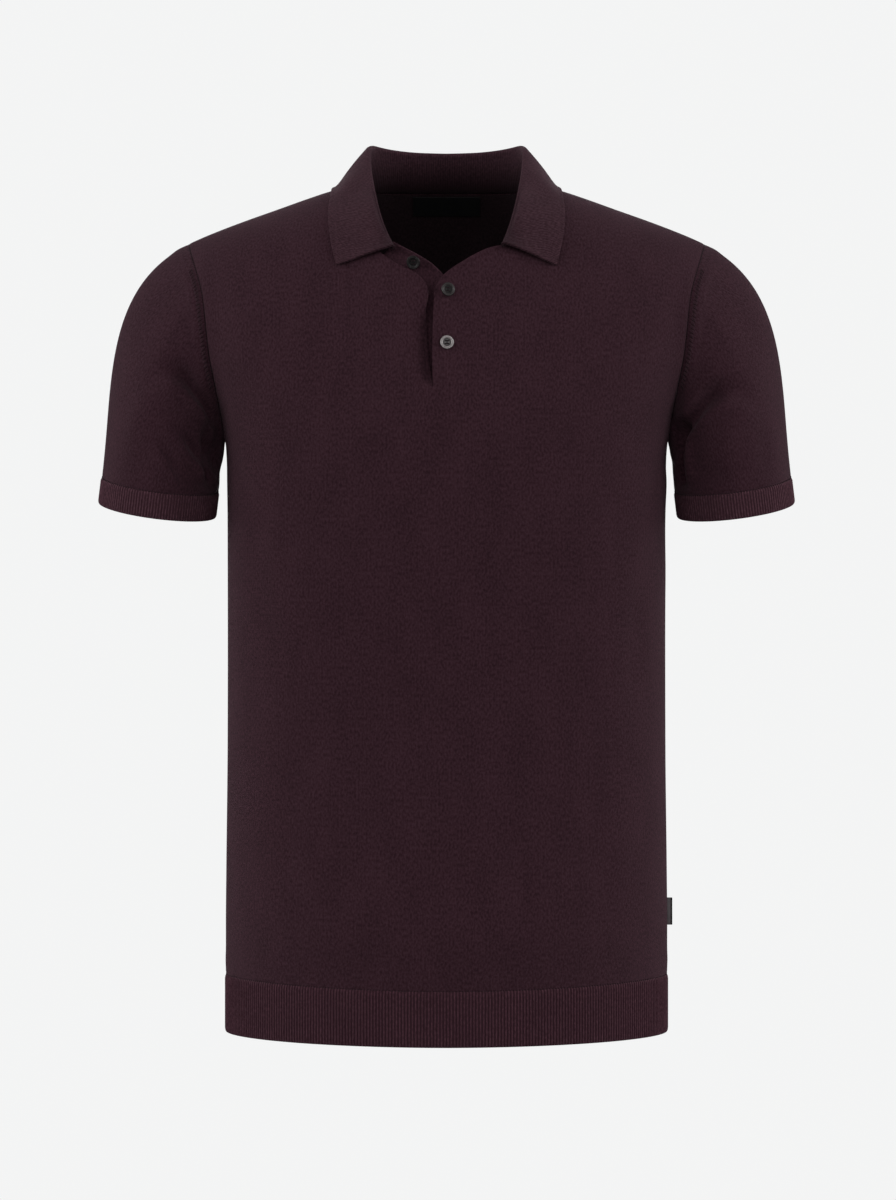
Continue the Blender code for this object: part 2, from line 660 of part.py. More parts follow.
def trunk_tree():
    """The trunk's outer face, for what lies on it."""
    bm = bmesh.new()
    add_front(bm, FRONT_COLUMNS)
    add_back(bm, BACK_COLUMNS)
    bmesh.ops.remove_doubles(bm, verts=bm.verts[:], dist=2 * SEAM)
    keep = bm.verts.layers.float_vector["out"]
    for face in bm.faces:
        face.normal_update()
        if face.normal.dot(face.verts[0][keep]) < 0:
            face.normal_flip()
    tree = BVHTree.FromBMesh(bm)
    bm.free()
    return tree


def collar(trunk):
    bm = bmesh.new()
    halves = [collar_half(hand, COLLAR_STEPS, 3, 4, 6, trunk) for hand in (-1, 1)]
    whole = np.concatenate([halves[0][:, :0:-1], halves[1]], axis=1)
    normals = sheet_normals(whole)
    add_sheet(bm, whole + normals * COLLAR_WALL / 2, normals)
    thicken(bm, COLLAR_WALL)
    return add_object("collar", bm, "collar")


def placket_underlap():
    bm = bmesh.new()
    stations = np.arange(len(UNDERLAP["outer_x"]), dtype=float)
    at = np.linspace(0, stations[-1], 19)
    edges = {key: smooth(at, stations, UNDERLAP[key]) for key in UNDERLAP}
    share = np.linspace(0, 1, 7)
    x = edges["inner_x"][:, None] + (edges["outer_x"] - edges["inner_x"])[:, None] * share
    z = edges["inner_z"][:, None] + (edges["outer_z"] - edges["inner_z"])[:, None] * share
    grid = np.stack([x, trunk_y(x, z, -1), z], axis=-1)
    normals = sheet_normals(grid)
    add_sheet(bm, grid - normals * UNDERLAP_DEPTH, normals)
    thicken(bm, UNDERLAP_WALL)
    return add_object("placket_underlap", bm, "jersey")


def turned(name, profile, segments):
    """A closed profile of radius and height, turned about Z."""
    mesh = bpy.data.meshes.new(name)
    bm = bmesh.new()
    verts = [bm.verts.new((radius, 0, height)) for radius, height in profile]
    for pair in zip(verts, verts[1:]):
        bm.edges.new(pair)
    bmesh.ops.spin(
        bm, geom=bm.verts[:] + bm.edges[:], axis=(0, 0, 1), cent=(0, 0, 0), angle=2 * math.pi, steps=segments,
        use_merge=True,
    )
    bmesh.ops.remove_doubles(bm, verts=bm.verts[:], dist=0.00001)
    bmesh.ops.recalc_face_normals(bm, faces=bm.faces[:])
    bm.to_mesh(mesh)
    bm.free()
    return mesh


def button(name, x, z, carrier, lean_side, lean_front):
    inset = UNDERLAP_DEPTH if carrier == "underlap" else 0.0
    step = 0.002
    here = np.array([x, float(trunk_y(x, z, -1)), z])
    along = np.array([x + step, float(trunk_y(x + step, z, -1)), z]) - here
    rise = np.array([x, float(trunk_y(x, z + step, -1)), z + step]) - here
    out = Vector(np.cross(along, rise)).normalized()
    right = Vector(along).normalized()
    turn = Matrix((right, out.cross(right), out)).transposed().to_4x4()
    tilt = Matrix.Rotation(math.radians(lean_side), 4, "Y") @ Matrix.Rotation(math.radians(lean_front), 4, "X")
    spread = BUTTON_RADIUS * (abs(math.sin(math.radians(lean_side))) + abs(math.sin(math.radians(lean_front))))
    place = Vector(here) + out * (BUTTON_LIFT + spread - inset)
    inner = BUTTON_RADIUS - BUTTON_RIM
    profile = (
        (0, 0),
        (0.62 * BUTTON_RADIUS, 0),
        (BUTTON_RADIUS, 0.42 * BUTTON_THICK),
        (BUTTON_RADIUS - 0.0002, 0.85 * BUTTON_THICK),
        (BUTTON_RADIUS - 0.0006, BUTTON_THICK),
        (inner, BUTTON_THICK - 0.0001),
        (inner - 0.0009, BUTTON_THICK - BUTTON_DISH),
        (0, BUTTON_THICK - BUTTON_DISH),
    )
    mesh = turned(name, profile, BUTTON_SEGMENTS)
    mesh.materials.append(material("button"))
    made = bpy.data.objects.new(name, mesh)
    bpy.data.collections["polo_sweater"].objects.link(made)
    made.matrix_world = Matrix.Translation(place) @ turn @ tilt
    for k in range(4):
        angle = math.radians(45 + 90 * k)
        bpy.ops.mesh.primitive_cylinder_add(vertices=8, radius=BUTTON_HOLE, depth=0.01)
        drill = bpy.context.object
        drill.name = f"{name}_drill_{k}"
        offset = Vector((math.cos(angle), math.sin(angle), 0)) * BUTTON_HOLE_OFFSET * math.sqrt(2)
        drill.matrix_world = made.matrix_world @ Matrix.Translation(offset)
        drill.hide_render = True
        drill.display_type = "WIRE"
        for old in list(drill.users_collection):
            old.objects.unlink(drill)
        bpy.data.collections["cutters"].objects.link(drill)
        cut = made.modifiers.new(f"hole_{k}", "BOOLEAN")
        cut.object = drill
        cut.operation = "DIFFERENCE"
    return made


def neck_label(back):
    """A flat label on the inside of the back, just under the neck's seam."""
    inside = BVHTree.FromPolygons([v.co for v in back.data.vertices], [p.vertices for p in back.data.polygons])
    z = LABEL_TOP - LABEL_SIZE[1] * np.linspace(1, 0, 4)[:, None] + np.zeros((1, 9))
    x = LABEL_SIZE[0] * np.linspace(-0.5, 0.5, 9)[None, :] + np.zeros((4, 1))
    grid = np.stack([x, trunk_y(x, z, 1), z], axis=-1)
    for point in grid.reshape(-1, 3):
        hit = inside.ray_cast((point[0], 0, point[2]), (0, 1, 0))[0]
        point[1] = hit.y - 3 * SEAM
    bm = bmesh.new()
    add_sheet(bm, grid, -sheet_normals(grid))
    thicken(bm, LABEL_WALL)
    return add_object("neck_label", bm, "label")


def side_tab():
    """A small folded tab that stands out of the side seam on the wearer's left."""
    bm = bmesh.new()
    middle = TAB_TOP - TAB_SIZE[2] / 2
    inner = float(smooth(TAB_TOP - TAB_SIZE[2], TRUNK["z"], TRUNK["width"])) + SEAM
    place = Matrix.Translation((inner + TAB_SIZE[0] / 2, 0, middle)) @ Matrix.Diagonal((*TAB_SIZE, 1))
    bmesh.ops.create_cube(bm, size=1, matrix=place)
    outer = [edge for edge in bm.edges if all(vert.co.x > inner + 0.001 for vert in edge.verts)]
    rounded = [edge for edge in outer if abs(edge.verts[0].co.z - edge.verts[1].co.z) > 0.01]
    bmesh.ops.bevel(
        bm, geom=rounded, offset=TAB_SIZE[1] * 0.45, segments=3, profile=0.5, affect="EDGES", material=-1
    )
    return add_object("side_tab", bm, "tab")


def main():
    for old in list(bpy.data.objects):
        bpy.data.objects.remove(old)
    for name in ("polo_sweater", "cutters"):
        bpy.context.scene.collection.children.link(bpy.data.collections.new(name))
    front_panel()
    back = back_panel()
    hem_rib("hem_rib_front", -1)
    hem_rib("hem_rib_back", 1)
    for side_name, hand in (("left", 1), ("right", -1)):
        sleeve(f"sleeve_{side_name}", hand)
        cuff(f"cuff_{side_name}", hand)
    collar(trunk_tree())
    placket_underlap()
    for name, place in BUTTONS.items():
        button(name, *place)
    neck_label(back)
    side_tab()


main()
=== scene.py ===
"""The looks of a short-sleeved knitted polo sweater, filled out and hollow, as a worn garment hangs.

Metres, +Z up, +X to the wearer's left, the front faces -Y, as in the frame. Each knitted piece
is a thin shell on its solid's form, laid out from the same tables, with its ribs, rolled edges,
soft creases, linking stitches and fashioning marks. The knit itself is in the materials.
"""

import math

import bmesh
import bpy
import numpy as np
from mathutils import Matrix, Vector
from mathutils.bvhtree import BVHTree


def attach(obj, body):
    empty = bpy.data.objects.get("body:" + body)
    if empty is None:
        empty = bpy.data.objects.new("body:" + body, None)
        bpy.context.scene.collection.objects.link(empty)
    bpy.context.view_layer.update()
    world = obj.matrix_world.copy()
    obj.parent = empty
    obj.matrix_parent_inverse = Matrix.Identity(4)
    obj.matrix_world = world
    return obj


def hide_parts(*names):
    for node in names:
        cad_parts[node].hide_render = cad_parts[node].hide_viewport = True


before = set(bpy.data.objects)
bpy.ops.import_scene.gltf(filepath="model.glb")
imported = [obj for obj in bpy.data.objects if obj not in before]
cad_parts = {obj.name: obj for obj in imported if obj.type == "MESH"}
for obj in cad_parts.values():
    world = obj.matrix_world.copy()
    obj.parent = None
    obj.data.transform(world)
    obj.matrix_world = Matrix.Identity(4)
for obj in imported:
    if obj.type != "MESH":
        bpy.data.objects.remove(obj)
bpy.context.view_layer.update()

# ---------------------------------------------------------------- sizes of the garment

JERSEY = 0.0014  # wall of the panels and sleeves
RIB_WALL = 0.0015
RIB_RISE = 0.0008  # how far a rib stands out
RIB_PITCH = 0.00256
COLLAR_WALL = 0.0018
SEAM = 0.0003

HEM = -0.692  # lower edge of the hem band
HEM_SEAM = -0.6475  # where the band is linked on, in the middle
HEM_SEAM_RISE = 0.0030  # how much higher that seam is at the sides
ARMPIT = -0.21
SLIT_END = -0.1691  # lower end of the front opening
SHOULDER_TIP_X = 0.2135
SHOULDER_TIP_Z = -0.0423

RISE = 0.30  # height over which the chest rounds back to the shoulder line
RISE_LOSS = 3.0

WALE = 0.0022  # one column of jersey loops
COURSE = 0.00135  # one row of them
COLLAR_WALE = 0.0020  # one fine rib of the collar

HIGH_ROWS = 62  # rows of faces from the slit's end to the shoulder
PANEL_COLUMNS = {"front": 84, "back": 64}
RIB_POINTS = 6  # points across one rib


def table(names, *rows):
    """A table with named columns."""
    return dict(zip(names.split(), np.array(rows, float).T))


TRUNK = table(
    "z width front back middle square",
    (-0.692, 0.1820, 0.1210, 0.1050, 0.000, 1.85),
    (-0.646, 0.1820, 0.1210, 0.1050, 0.000, 1.85),
    (-0.605, 0.1820, 0.1240, 0.1080, 0.000, 1.98),
    (-0.560, 0.1816, 0.1210, 0.1050, 0.000, 2.08),
    (-0.450, 0.1804, 0.1180, 0.0980, 0.000, 2.20),
    (-0.360, 0.1802, 0.1200, 0.1020, 0.000, 2.30),
    (-0.270, 0.1803, 0.1240, 0.1090, 0.000, 2.40),
    (-0.235, 0.1808, 0.1248, 0.1108, 0.000, 2.43),
    (-0.210, 0.1819, 0.1250, 0.1120, 0.000, 2.45),
    (-0.190, 0.1850, 0.1250, 0.1130, 0.001, 2.46),
    (-0.168, 0.1918, 0.1250, 0.1140, 0.003, 2.48),
    (-0.139, 0.2030, 0.1250, 0.1150, 0.006, 2.50),
    (-0.087, 0.2140, 0.1250, 0.1150, 0.009, 2.50),
    (-0.045, 0.2190, 0.1250, 0.1150, 0.010, 2.50),
    (0.040, 0.2300, 0.1250, 0.1150, 0.010, 2.50),
)
SHOULDER = table(
    "x z",
    (0.0000, 0.0360),
    (0.0420, 0.0280),
    (0.0840, 0.0046),
    (0.0965, 0.0011),
    (0.1163, -0.0055),
    (0.1395, -0.0138),
    (0.1631, -0.0221),
    (0.1854, -0.0304),
    (0.2065, -0.0390),
    (0.2135, -0.0423),
    (0.2300, -0.0525),
)
ARMHOLE = table(
    "z x",
    (-0.2100, 0.1819),
    (-0.1980, 0.1830),
    (-0.1729, 0.1868),
    (-0.1389, 0.1928),
    (-0.0873, 0.1993),
    (-0.0600, 0.2075),
    (-0.0423, 0.2135),
)
NECK_BACK = table("x z", (0.0, 0.0060), (0.04, 0.0055), (0.066, 0.0050), (0.084, 0.0046))
NECK_SIDE = ((0.0630, -0.0450), (0.0710, -0.0340), (0.0780, -0.0180), (0.0820, -0.0080), (0.0840, 0.0046))
NECK_LEFT = table(  # the front on the wearer's left, which laps over
    "x z",
    (-0.0101, -0.0935),
    (-0.0092, -0.0880),
    (-0.0068, -0.0830),
    (-0.0026, -0.0771),
    (0.0050, -0.0707),
    (0.0135, -0.0652),
    (0.0215, -0.0602),
    (0.0358, -0.0537),
    (0.0460, -0.0515),
    (0.0550, -0.0500),
    *NECK_SIDE,
)
NECK_RIGHT = table(  # the front on the wearer's right, under it
    "x z",
    (0.0142, -0.0905),
    (0.0150, -0.0868),
    (0.0167, -0.0832),
    (0.0200, -0.0791),
    (0.0249, -0.0752),
    (0.0320, -0.0714),
    (0.0410, -0.0665),
    (0.0499, -0.0603),
    *NECK_SIDE,
)
OPENING = table(
    "z left right",
    (-0.692, -0.0108, -0.0108),
    (-0.1691, -0.0108, -0.0108),
    (-0.1446, -0.0114, -0.0141),
    (-0.1217, -0.0110, -0.0161),
    (-0.1064, -0.0105, -0.0169),
    (-0.0976, -0.0102, -0.0150),
    (-0.0905, -0.0101, -0.0142),
)
COLLAR = table(
    "neck_x neck_z side fold_x fold_y fold_z free_x free_z",
    (0.000, 0.0060, 1, 0.0000, 0.0550, 0.0372, 0.0000, -0.0120),
    (0.035, 0.0056, 1, 0.0240, 0.0520, 0.0376, 0.0320, -0.0118),
    (0.062, 0.0050, 1, 0.0450, 0.0410, 0.0386, 0.0610, -0.0110),
    (0.078, 0.0047, 1, 0.0595, 0.0240, 0.0400, 0.0840, -0.0080),
    (0.084, 0.0046, 0, 0.0640, 0.0030, 0.0350, 0.0925, 0.0000),
    (0.082, -0.0080, -1, 0.0625, -0.0190, 0.0180, 0.0943, -0.0105),
    (0.078, -0.0180, -1, 0.0586, -0.0430, -0.0050, 0.0956, -0.0220),
    (0.071, -0.0340, -1, 0.0530, -0.0650, -0.0280, 0.0946, -0.0370),
    (0.063, -0.0450, -1, 0.0470, -0.0810, -0.0440, 0.0918, -0.0530),
    (0.0475, -0.0515, -1, 0.0418, -0.0945, -0.0545, 0.0876, -0.0690),
)
COLLAR_END_SHIFT = {-1: (0.0, 0.0), 1: (0.0030, 0.0024)}  # the fold's own shift in x and z
NECK_CLEAR = SEAM + COLLAR_WALL / 2 + 0.0006
FOLD_RADIUS = 0.0017
FALL_SWELL = 0.0018
FALL_CLEAR = 0.0021

UNDERLAP = table(
    "outer_x outer_z inner_x inner_z",
    (0.0130, -0.1740, -0.0170, -0.1740),
    (0.0130, -0.1450, -0.0200, -0.1450),
    (0.0130, -0.1150, -0.0225, -0.1150),
    (0.0120, -0.0960, -0.0225, -0.0980),
    (0.0075, -0.0845, -0.0235, -0.0890),
    (-0.0015, -0.0765, -0.0275, -0.0830),
    (-0.0115, -0.0665, -0.0350, -0.0775),
    (-0.0234, -0.0586, -0.0430, -0.0725),
    (-0.0355, -0.0520, -0.0500, -0.0670),
    (-0.0430, -0.0478, -0.0560, -0.0620),
)
UNDERLAP_DEPTH = JERSEY + 0.0011
UNDERLAP_WALL = 0.0016
UNDERLAP_SINK = 0.0022  # how much further back it falls where nothing holds it

SLEEVE_START = table(
    "turn out forward down",
    (0.000, 0.214, 0.000, 0.106),
    (0.125, 0.110, 0.020, 0.085),
    (0.250, 0.062, 0.014, 0.070),
    (0.375, 0.030, 0.004, 0.050),
    (0.500, 0.014, 0.000, 0.030),
    (0.625, 0.030, -0.004, 0.050),
    (0.750, 0.062, -0.014, 0.070),
    (0.875, 0.110, -0.020, 0.085),
    (1.000, 0.214, 0.000, 0.106),
)
CUFF_EDGE = (0.2387, -0.0005, -0.2624)
CUFF_HALF = (0.0479, 0.0575)
CUFF_SLOPE = (0.137, 0.145)
CUFF_HEIGHT = 0.0215
SLEEVE_AIM = (0.12, 0.0, -0.99)
CUFF_RIBS = 130
SLEEVE_ROUND = 0.37  # round the sleeve, half way down

# Soft creases. On a sleeve: round is metres from the shoulder line over the front, down is
# metres from the armhole's level at the top. On the body: x and z. lean is degrees from
# straight down; length and width are metres to where the crease is nearly gone; depth is
# inwards, and a negative one is a ridge.
SLEEVE_CREASES = {
    -1: table(
        "round down lean length width depth",
        (0.1040, 0.030, 56, 0.062, 0.0090, 0.0098),
        (0.150, 0.034, 62, 0.040, 0.014, 0.0050),
        (0.165, 0.018, 12, 0.030, 0.012, 0.0035),
        (0.127, 0.058, 74, 0.036, 0.009, 0.0055),
        (0.100, 0.096, 69, 0.026, 0.009, 0.0038),
        (0.152, 0.050, 170, 0.045, 0.014, 0.0050),
        (0.062, 0.112, 22, 0.050, 0.016, -0.0012),
        (0.084, 0.064, 60, 0.040, 0.012, -0.0012),
        (0.262, 0.044, -56, 0.055, 0.011, 0.0044),
        (0.226, 0.052, 10, 0.036, 0.011, 0.0036),
        (0.255, 0.092, -66, 0.030, 0.010, 0.0022),
        (0.305, 0.118, -30, 0.050, 0.016, 0.0014),
    ),
    1: table(
        "round down lean length width depth",
        (0.102, 0.046, 53, 0.066, 0.0090, 0.0098),
        (0.150, 0.026, 228, 0.034, 0.012, 0.0090),
        (0.158, 0.046, 170, 0.042, 0.014, 0.0110),
        (0.118, 0.092, 40, 0.036, 0.010, 0.0034),
        (0.078, 0.100, 50, 0.050, 0.014, -0.0014),
        (0.056, 0.140, 12, 0.040, 0.016, 0.0010),
        (0.250, 0.048, -58, 0.055, 0.011, 0.0044),
        (0.222, 0.046, 4, 0.036, 0.011, 0.0040),
        (0.272, 0.096, -60, 0.034, 0.010, 0.0020),
        (0.318, 0.110, -24, 0.045, 0.015, 0.0014),
    ),
}
BODY_CREASES = {
    -1: table(
        "x z lean length width depth",
        (-0.168, -0.238, 28, 0.050, 0.010, 0.0012),
        (0.170, -0.236, -24, 0.055, 0.010, 0.0013),
        (-0.150, -0.330, 9, 0.090, 0.014, 0.0008),
        (0.152, -0.352, -8, 0.100, 0.014, 0.0008),
        (-0.128, -0.505, -10, 0.090, 0.018, 0.0007),
        (0.118, -0.540, 12, 0.085, 0.018, 0.0007),
        (-0.060, -0.142, 34, 0.060, 0.016, 0.0006),
        (0.078, -0.120, -30, 0.060, 0.016, 0.0006),
    ),
    1: table(
        "x z lean length width depth",
        (-0.160, -0.232, 32, 0.060, 0.011, 0.0024),
        (0.162, -0.236, -30, 0.055, 0.011, 0.0022),
        (-0.126, -0.300, 14, 0.080, 0.014, 0.0017),
        (0.118, -0.322, -12, 0.085, 0.014, 0.0017),
        (-0.080, -0.480, -16, 0.080, 0.020, 0.0020),
        (0.064, -0.520, 18, 0.090, 0.020, 0.0020),
        (0.004, -0.070, 84, 0.090, 0.012, 0.0012),
        (-0.012, -0.585, 78, 0.120, 0.012, 0.0014),
    ),
}

BUTTON_RADIUS = 0.0056
BUTTON_THICK = 0.0022
BUTTON_RIM = 0.0018
BUTTON_DISH = 0.0006
BUTTON_HOLE = 0.00062
BUTTON_HOLE_OFFSET = 0.0012
BUTTON_LIFT = 0.0004
BUTTONS = {  # where it lies, what carries it, and its lean to the side and forward in degrees
    "button_1": (-0.0262, -0.0664, "underlap", -14.0, 34.0),
    "button_2": (0.0009, -0.0897, "front", 12.0, 8.0),
    "button_3": (0.0004, -0.1320, "front", 0.0, 2.0),
}

LABEL_SIZE = (0.0565, 0.0150)
LABEL_TOP = 0.0030
LABEL_WALL = 0.0005
TAB_SIZE = (0.0046, 0.0011, 0.0225)
TAB_TOP = -0.5820

# The camera stands level with the middle of the garment, as far off as the photographer's.
CAMERA_PLACE = (0.0012, -3.1, -0.3366)
CAMERA_LENS = 112.7
CAMERA_SENSOR = 36.0
FLOOR_LEVEL = -1.02
FLOOR_SIZE = 60.0
SURROUND = (0.901, 0.906, 0.906)


# ---------------------------------------------------------------- the garment's form


def smooth(at, xs, ys):
    """A smooth curve through a table's rows that never passes its highest or lowest value."""
    step = np.diff(xs)
    slope = np.diff(ys) / step
    lean = np.zeros_like(ys)
    lean[0], lean[-1] = slope[0], slope[-1]
    before, after = slope[:-1], slope[1:]
    turns = before * after <= 0
    weight_a, weight_b = 2 * step[1:] + step[:-1], step[1:] + 2 * step[:-1]
    safe_before, safe_after = np.where(turns, 1, before), np.where(turns, 1, after)
    mean = (weight_a + weight_b) / (weight_a / safe_before + weight_b / safe_after)
    lean[1:-1] = np.where(turns, 0, mean)
    at = np.clip(at, xs[0], xs[-1])
    i = np.clip(np.searchsorted(xs, at, side="right") - 1, 0, len(step) - 1)
    t, h = (at - xs[i]) / step[i], step[i]
    start = (1 + 2 * t) * (1 - t) ** 2 * ys[i] + t * (1 - t) ** 2 * h * lean[i]
    return start + t * t * (3 - 2 * t) * ys[i + 1] + t * t * (t - 1) * h * lean[i + 1]


def bump(value, centre, reach):
    """1 at the centre, falling softly to nearly nothing at reach."""
    return np.exp(-2.5 * ((value - centre) / reach) ** 2)


def ramp(value, start, end):
    """0 before start, 1 after end, and smooth between them."""
    t = np.clip((value - start) / (end - start), 0, 1)
    return t * t * (3 - 2 * t)


def trunk_y(x, z, side):
    """The depth of the trunk's outer face: side is -1 for the front and 1 for the back."""
    across = np.abs(x)
    width = smooth(z, TRUNK["z"], TRUNK["width"])
    depth = smooth(z, TRUNK["z"], TRUNK["front" if side < 0 else "back"])
    middle = smooth(z, TRUNK["z"], TRUNK["middle"])
    square = smooth(z, TRUNK["z"], TRUNK["square"])
    flat = np.clip(1 - (across / width) ** square, 0, 1) ** (1 / square)
    rise = RISE - RISE_LOSS * across**2
    below = np.clip((smooth(across, SHOULDER["x"], SHOULDER["z"]) - z) / rise, 0, 1)
    return middle + side * depth * flat * np.sqrt(1 - (1 - below) ** 3)


def trunk_edge(z):
    """Half the width of a panel: to the side seam, and above the armpit to the armhole."""
    seam = smooth(z, TRUNK["z"], TRUNK["width"])
    return np.where(z < ARMPIT, seam, smooth(z, ARMHOLE["z"], ARMHOLE["x"]))


def lengths(line):
    """How far along a line of points each point lies."""
    return np.r_[0, np.cumsum(np.linalg.norm(np.diff(line, axis=0), axis=1))]


def spaced(line, shares):
    """Points of a line at the given shares of its length, or at that many even steps."""
    along = lengths(line)
    at = np.linspace(0, 1, shares + 1) if isinstance(shares, int) else np.array(shares)
    return np.stack([np.interp(at * along[-1], along, line[:, k]) for k in range(3)], axis=1)


def section(z, side, start, end):
    """A fine line of points along a level section from x = start to x = end."""
    width = float(smooth(z, TRUNK["z"], TRUNK["width"]))
    square = float(smooth(z, TRUNK["z"], TRUNK["square"]))
    turns = [math.copysign(math.asin(min(1, (abs(x) / width) ** (square / 2))), x) for x in (start, end)]
    turn = np.linspace(*turns, 400)
    x = np.sign(turn) * width * np.abs(np.sin(turn)) ** (2 / square)
    return np.stack([x, trunk_y(x, np.full_like(x, z), side), np.full_like(x, z)], axis=1)


def hem_seam(x):
    """The height of the seam between a panel and the hem band."""
    return HEM_SEAM + HEM_SEAM_RISE * (x / TRUNK["width"][0]) ** 2


def panel_levels():
    """The level rows of a panel, closer together just above the hem band."""
    near = HEM_SEAM + np.array([0.0012, 0.0025, 0.004, 0.006, 0.0085, 0.0115])
    return np.r_[near, np.linspace(HEM_SEAM + 0.015, SLIT_END, 112)]


def panel_shares(columns):
    """Shares of the way from a panel's inner edge to its side, closer together at both."""
    t = np.linspace(0, 1, columns + 1)
    return 0.5 * t + 0.5 * t * t * (3 - 2 * t)


def panel_half(side, hand, opening, neck, shares):
    """A grid of points over half a panel, from its inner edge to the side, bottom to top."""

    def upper_edge(x):
        return float(smooth(x, neck["x"], neck["z"]) if x < neck["x"][-1] else smooth(x, *SHOULDER.values()))

    rows = []
    for z in (HEM_SEAM, *panel_levels()):
        step = (z - HEM_SEAM) / (SLIT_END - HEM_SEAM)
        row = spaced(section(z, side, opening(z) * hand, float(trunk_edge(z))), shares)
        row[:, 2] += (hem_seam(row[:, 0]) - HEM_SEAM) * (1 - step) ** 3
        row[:-1, 1] = trunk_y(row[:-1, 0], row[:-1, 2], side)
        rows.append(row)
    share = (rows[-1][:, 0] - rows[-1][0, 0]) / (rows[-1][-1, 0] - rows[-1][0, 0])
    columns = []
    for part in share:

        def across(z, part=part):
            inner = opening(z) * hand
            return inner + part * (trunk_edge(z) - inner)

        top = upper_edge(across(SLIT_END))
        for _ in range(24):
            top = 0.5 * top + 0.5 * upper_edge(across(top))
        z = top - (top - SLIT_END) * np.linspace(1, 0, 160) ** 2
        x = across(z)
        columns.append(spaced(np.stack([x, trunk_y(x, z, side), z], axis=1), HIGH_ROWS))
    grid = np.concatenate([np.array(rows), np.stack(columns, axis=1)[1:]])
    return grid * (hand, 1, 1)


def opening_edge(column):
    return lambda z: smooth(z, OPENING["z"], OPENING[column])


def plain_edge(z):
    return z * 0


def sheet_normals(grid, tube=False):
    """The unit normals of a grid of points, and of its edges as well as its middle."""
    wide = np.concatenate([grid[:, -2:-1], grid, grid[:, 1:2]], axis=1) if tube else grid
    along = np.gradient(wide, axis=1, edge_order=2)
    if tube:
        along = along[:, 1:-1]
    normal = np.cross(along, np.gradient(grid, axis=0, edge_order=2))
    return normal / np.maximum(np.linalg.norm(normal, axis=2, keepdims=True), 1e-12)


def run_lengths(grid, axis):
    """How far each point of a grid lies along its row or column, in metres."""
    step = np.linalg.norm(np.diff(grid, axis=axis), axis=2)
    start = np.zeros_like(step.take([0], axis=axis))
    return np.concatenate([start, np.cumsum(step, axis=axis)], axis=axis)


def girth_to(x, z, side):
    """How far a point lies round the trunk from the middle, at its own height."""
    xs = np.linspace(0, 0.225, 226)
    zs = np.linspace(HEM, 0.036, 90)
    across, up = np.meshgrid(xs, zs)
    y = trunk_y(across, up, side)
    steps = np.hypot(np.diff(across, axis=1), np.clip(np.abs(np.diff(y, axis=1)), 0, 0.004))
    far = np.concatenate([np.zeros((len(zs), 1)), np.cumsum(steps, axis=1)], axis=1)
    i = np.clip((z - zs[0]) / (zs[1] - zs[0]), 0, len(zs) - 1.001)
    j = np.clip(np.abs(x) / (xs[1] - xs[0]), 0, len(xs) - 1.001)
    i0, j0 = i.astype(int), j.astype(int)
    s, t = i - i0, j - j0
    low = far[i0, j0] * (1 - t) + far[i0, j0 + 1] * t
    high = far[i0 + 1, j0] * (1 - t) + far[i0 + 1, j0 + 1] * t
    return np.sign(x) * (low * (1 - s) + high * s)


def round_trunk(grid, side, from_side):
    """How far round the trunk each point lies, counted back from the side seam where it is near."""
    level = np.abs(girth_to(grid[..., 0], grid[..., 2], side))
    near, far = SIDE_BLEND
    whole = [np.interp(far, run[::-1], total[::-1]) for run, total in zip(from_side, level + from_side)]
    share = ramp(from_side, near, far)
    return np.sign(grid[..., 0]) * (share * level + (1 - share) * (np.array(whole)[:, None] - from_side))


def creased(across, down, marks):
    """How far soft creases press a sheet in, at places given in the marks' own two directions."""
    names = list(marks)
    depth = np.zeros_like(across)
    for a, b, lean, length, width, deep in zip(*(marks[name] for name in names)):
        angle = math.radians(lean)
        along = (across - a) * -math.sin(angle) + (down - b) * math.cos(angle)
        aside = (across - a) * math.cos(angle) + (down - b) * math.sin(angle)
        aside = aside - 0.25 * along**2 / length
        trough = bump(aside, 0, width) - 0.45 * bump(aside, width * 1.2, width * 0.8)
        depth += deep * trough * bump(along, 0, length)
    return depth


# ---------------------------------------------------------------- making meshes


def lay_grid(bm, grid, out, knit):
    """Lays a grid of quads on the points, with knit coordinates in metres as its UV map."""
    keep = bm.verts.layers.float_vector.get("out") or bm.verts.layers.float_vector.new("out")
    layer = bm.loops.layers.uv.get("knit") or bm.loops.layers.uv.new("knit")
    rows, columns = grid.shape[:2]
    made = bmesh.ops.create_grid(bm, x_segments=columns - 1, y_segments=rows - 1, size=0.5)
    places = {}
    for vert in made["verts"]:
        i = round((vert.co.y + 0.5) * (rows - 1))
        j = round((vert.co.x + 0.5) * (columns - 1))
        places[vert] = knit[i, j]
        vert.co = grid[i, j]
        vert[keep] = out[i, j]
    for vert, place in places.items():
        for loop in vert.link_loops:
            loop[layer].uv = place


def give_wall(bm, wall, rounding=0.4, merge=0.00002):
    """Gives a sheet its wall, inwards from its outer face, and rounds the rims."""
    bmesh.ops.remove_doubles(bm, verts=bm.verts[:], dist=merge)
    keep = bm.verts.layers.float_vector["out"]
    made = bmesh.ops.extrude_face_region(bm, geom=bm.faces[:], use_keep_orig=True)
    inner = [item for item in made["geom"] if isinstance(item, bmesh.types.BMVert)]
    for vert in inner:
        vert.co -= wall * vert[keep]
    for item in made["geom"]:
        if isinstance(item, bmesh.types.BMFace):
            item.material_index = 1
    bmesh.ops.recalc_face_normals(bm, faces=bm.faces[:])
    if rounding:
        rims = [edge for edge in bm.edges if edge.is_manifold and edge.calc_face_angle() > math.radians(58)]
        bmesh.ops.bevel(
            bm, geom=rims, offset=wall * rounding, segments=2, profile=0.5, affect="EDGES", material=-1,
            clamp_overlap=True,
        )


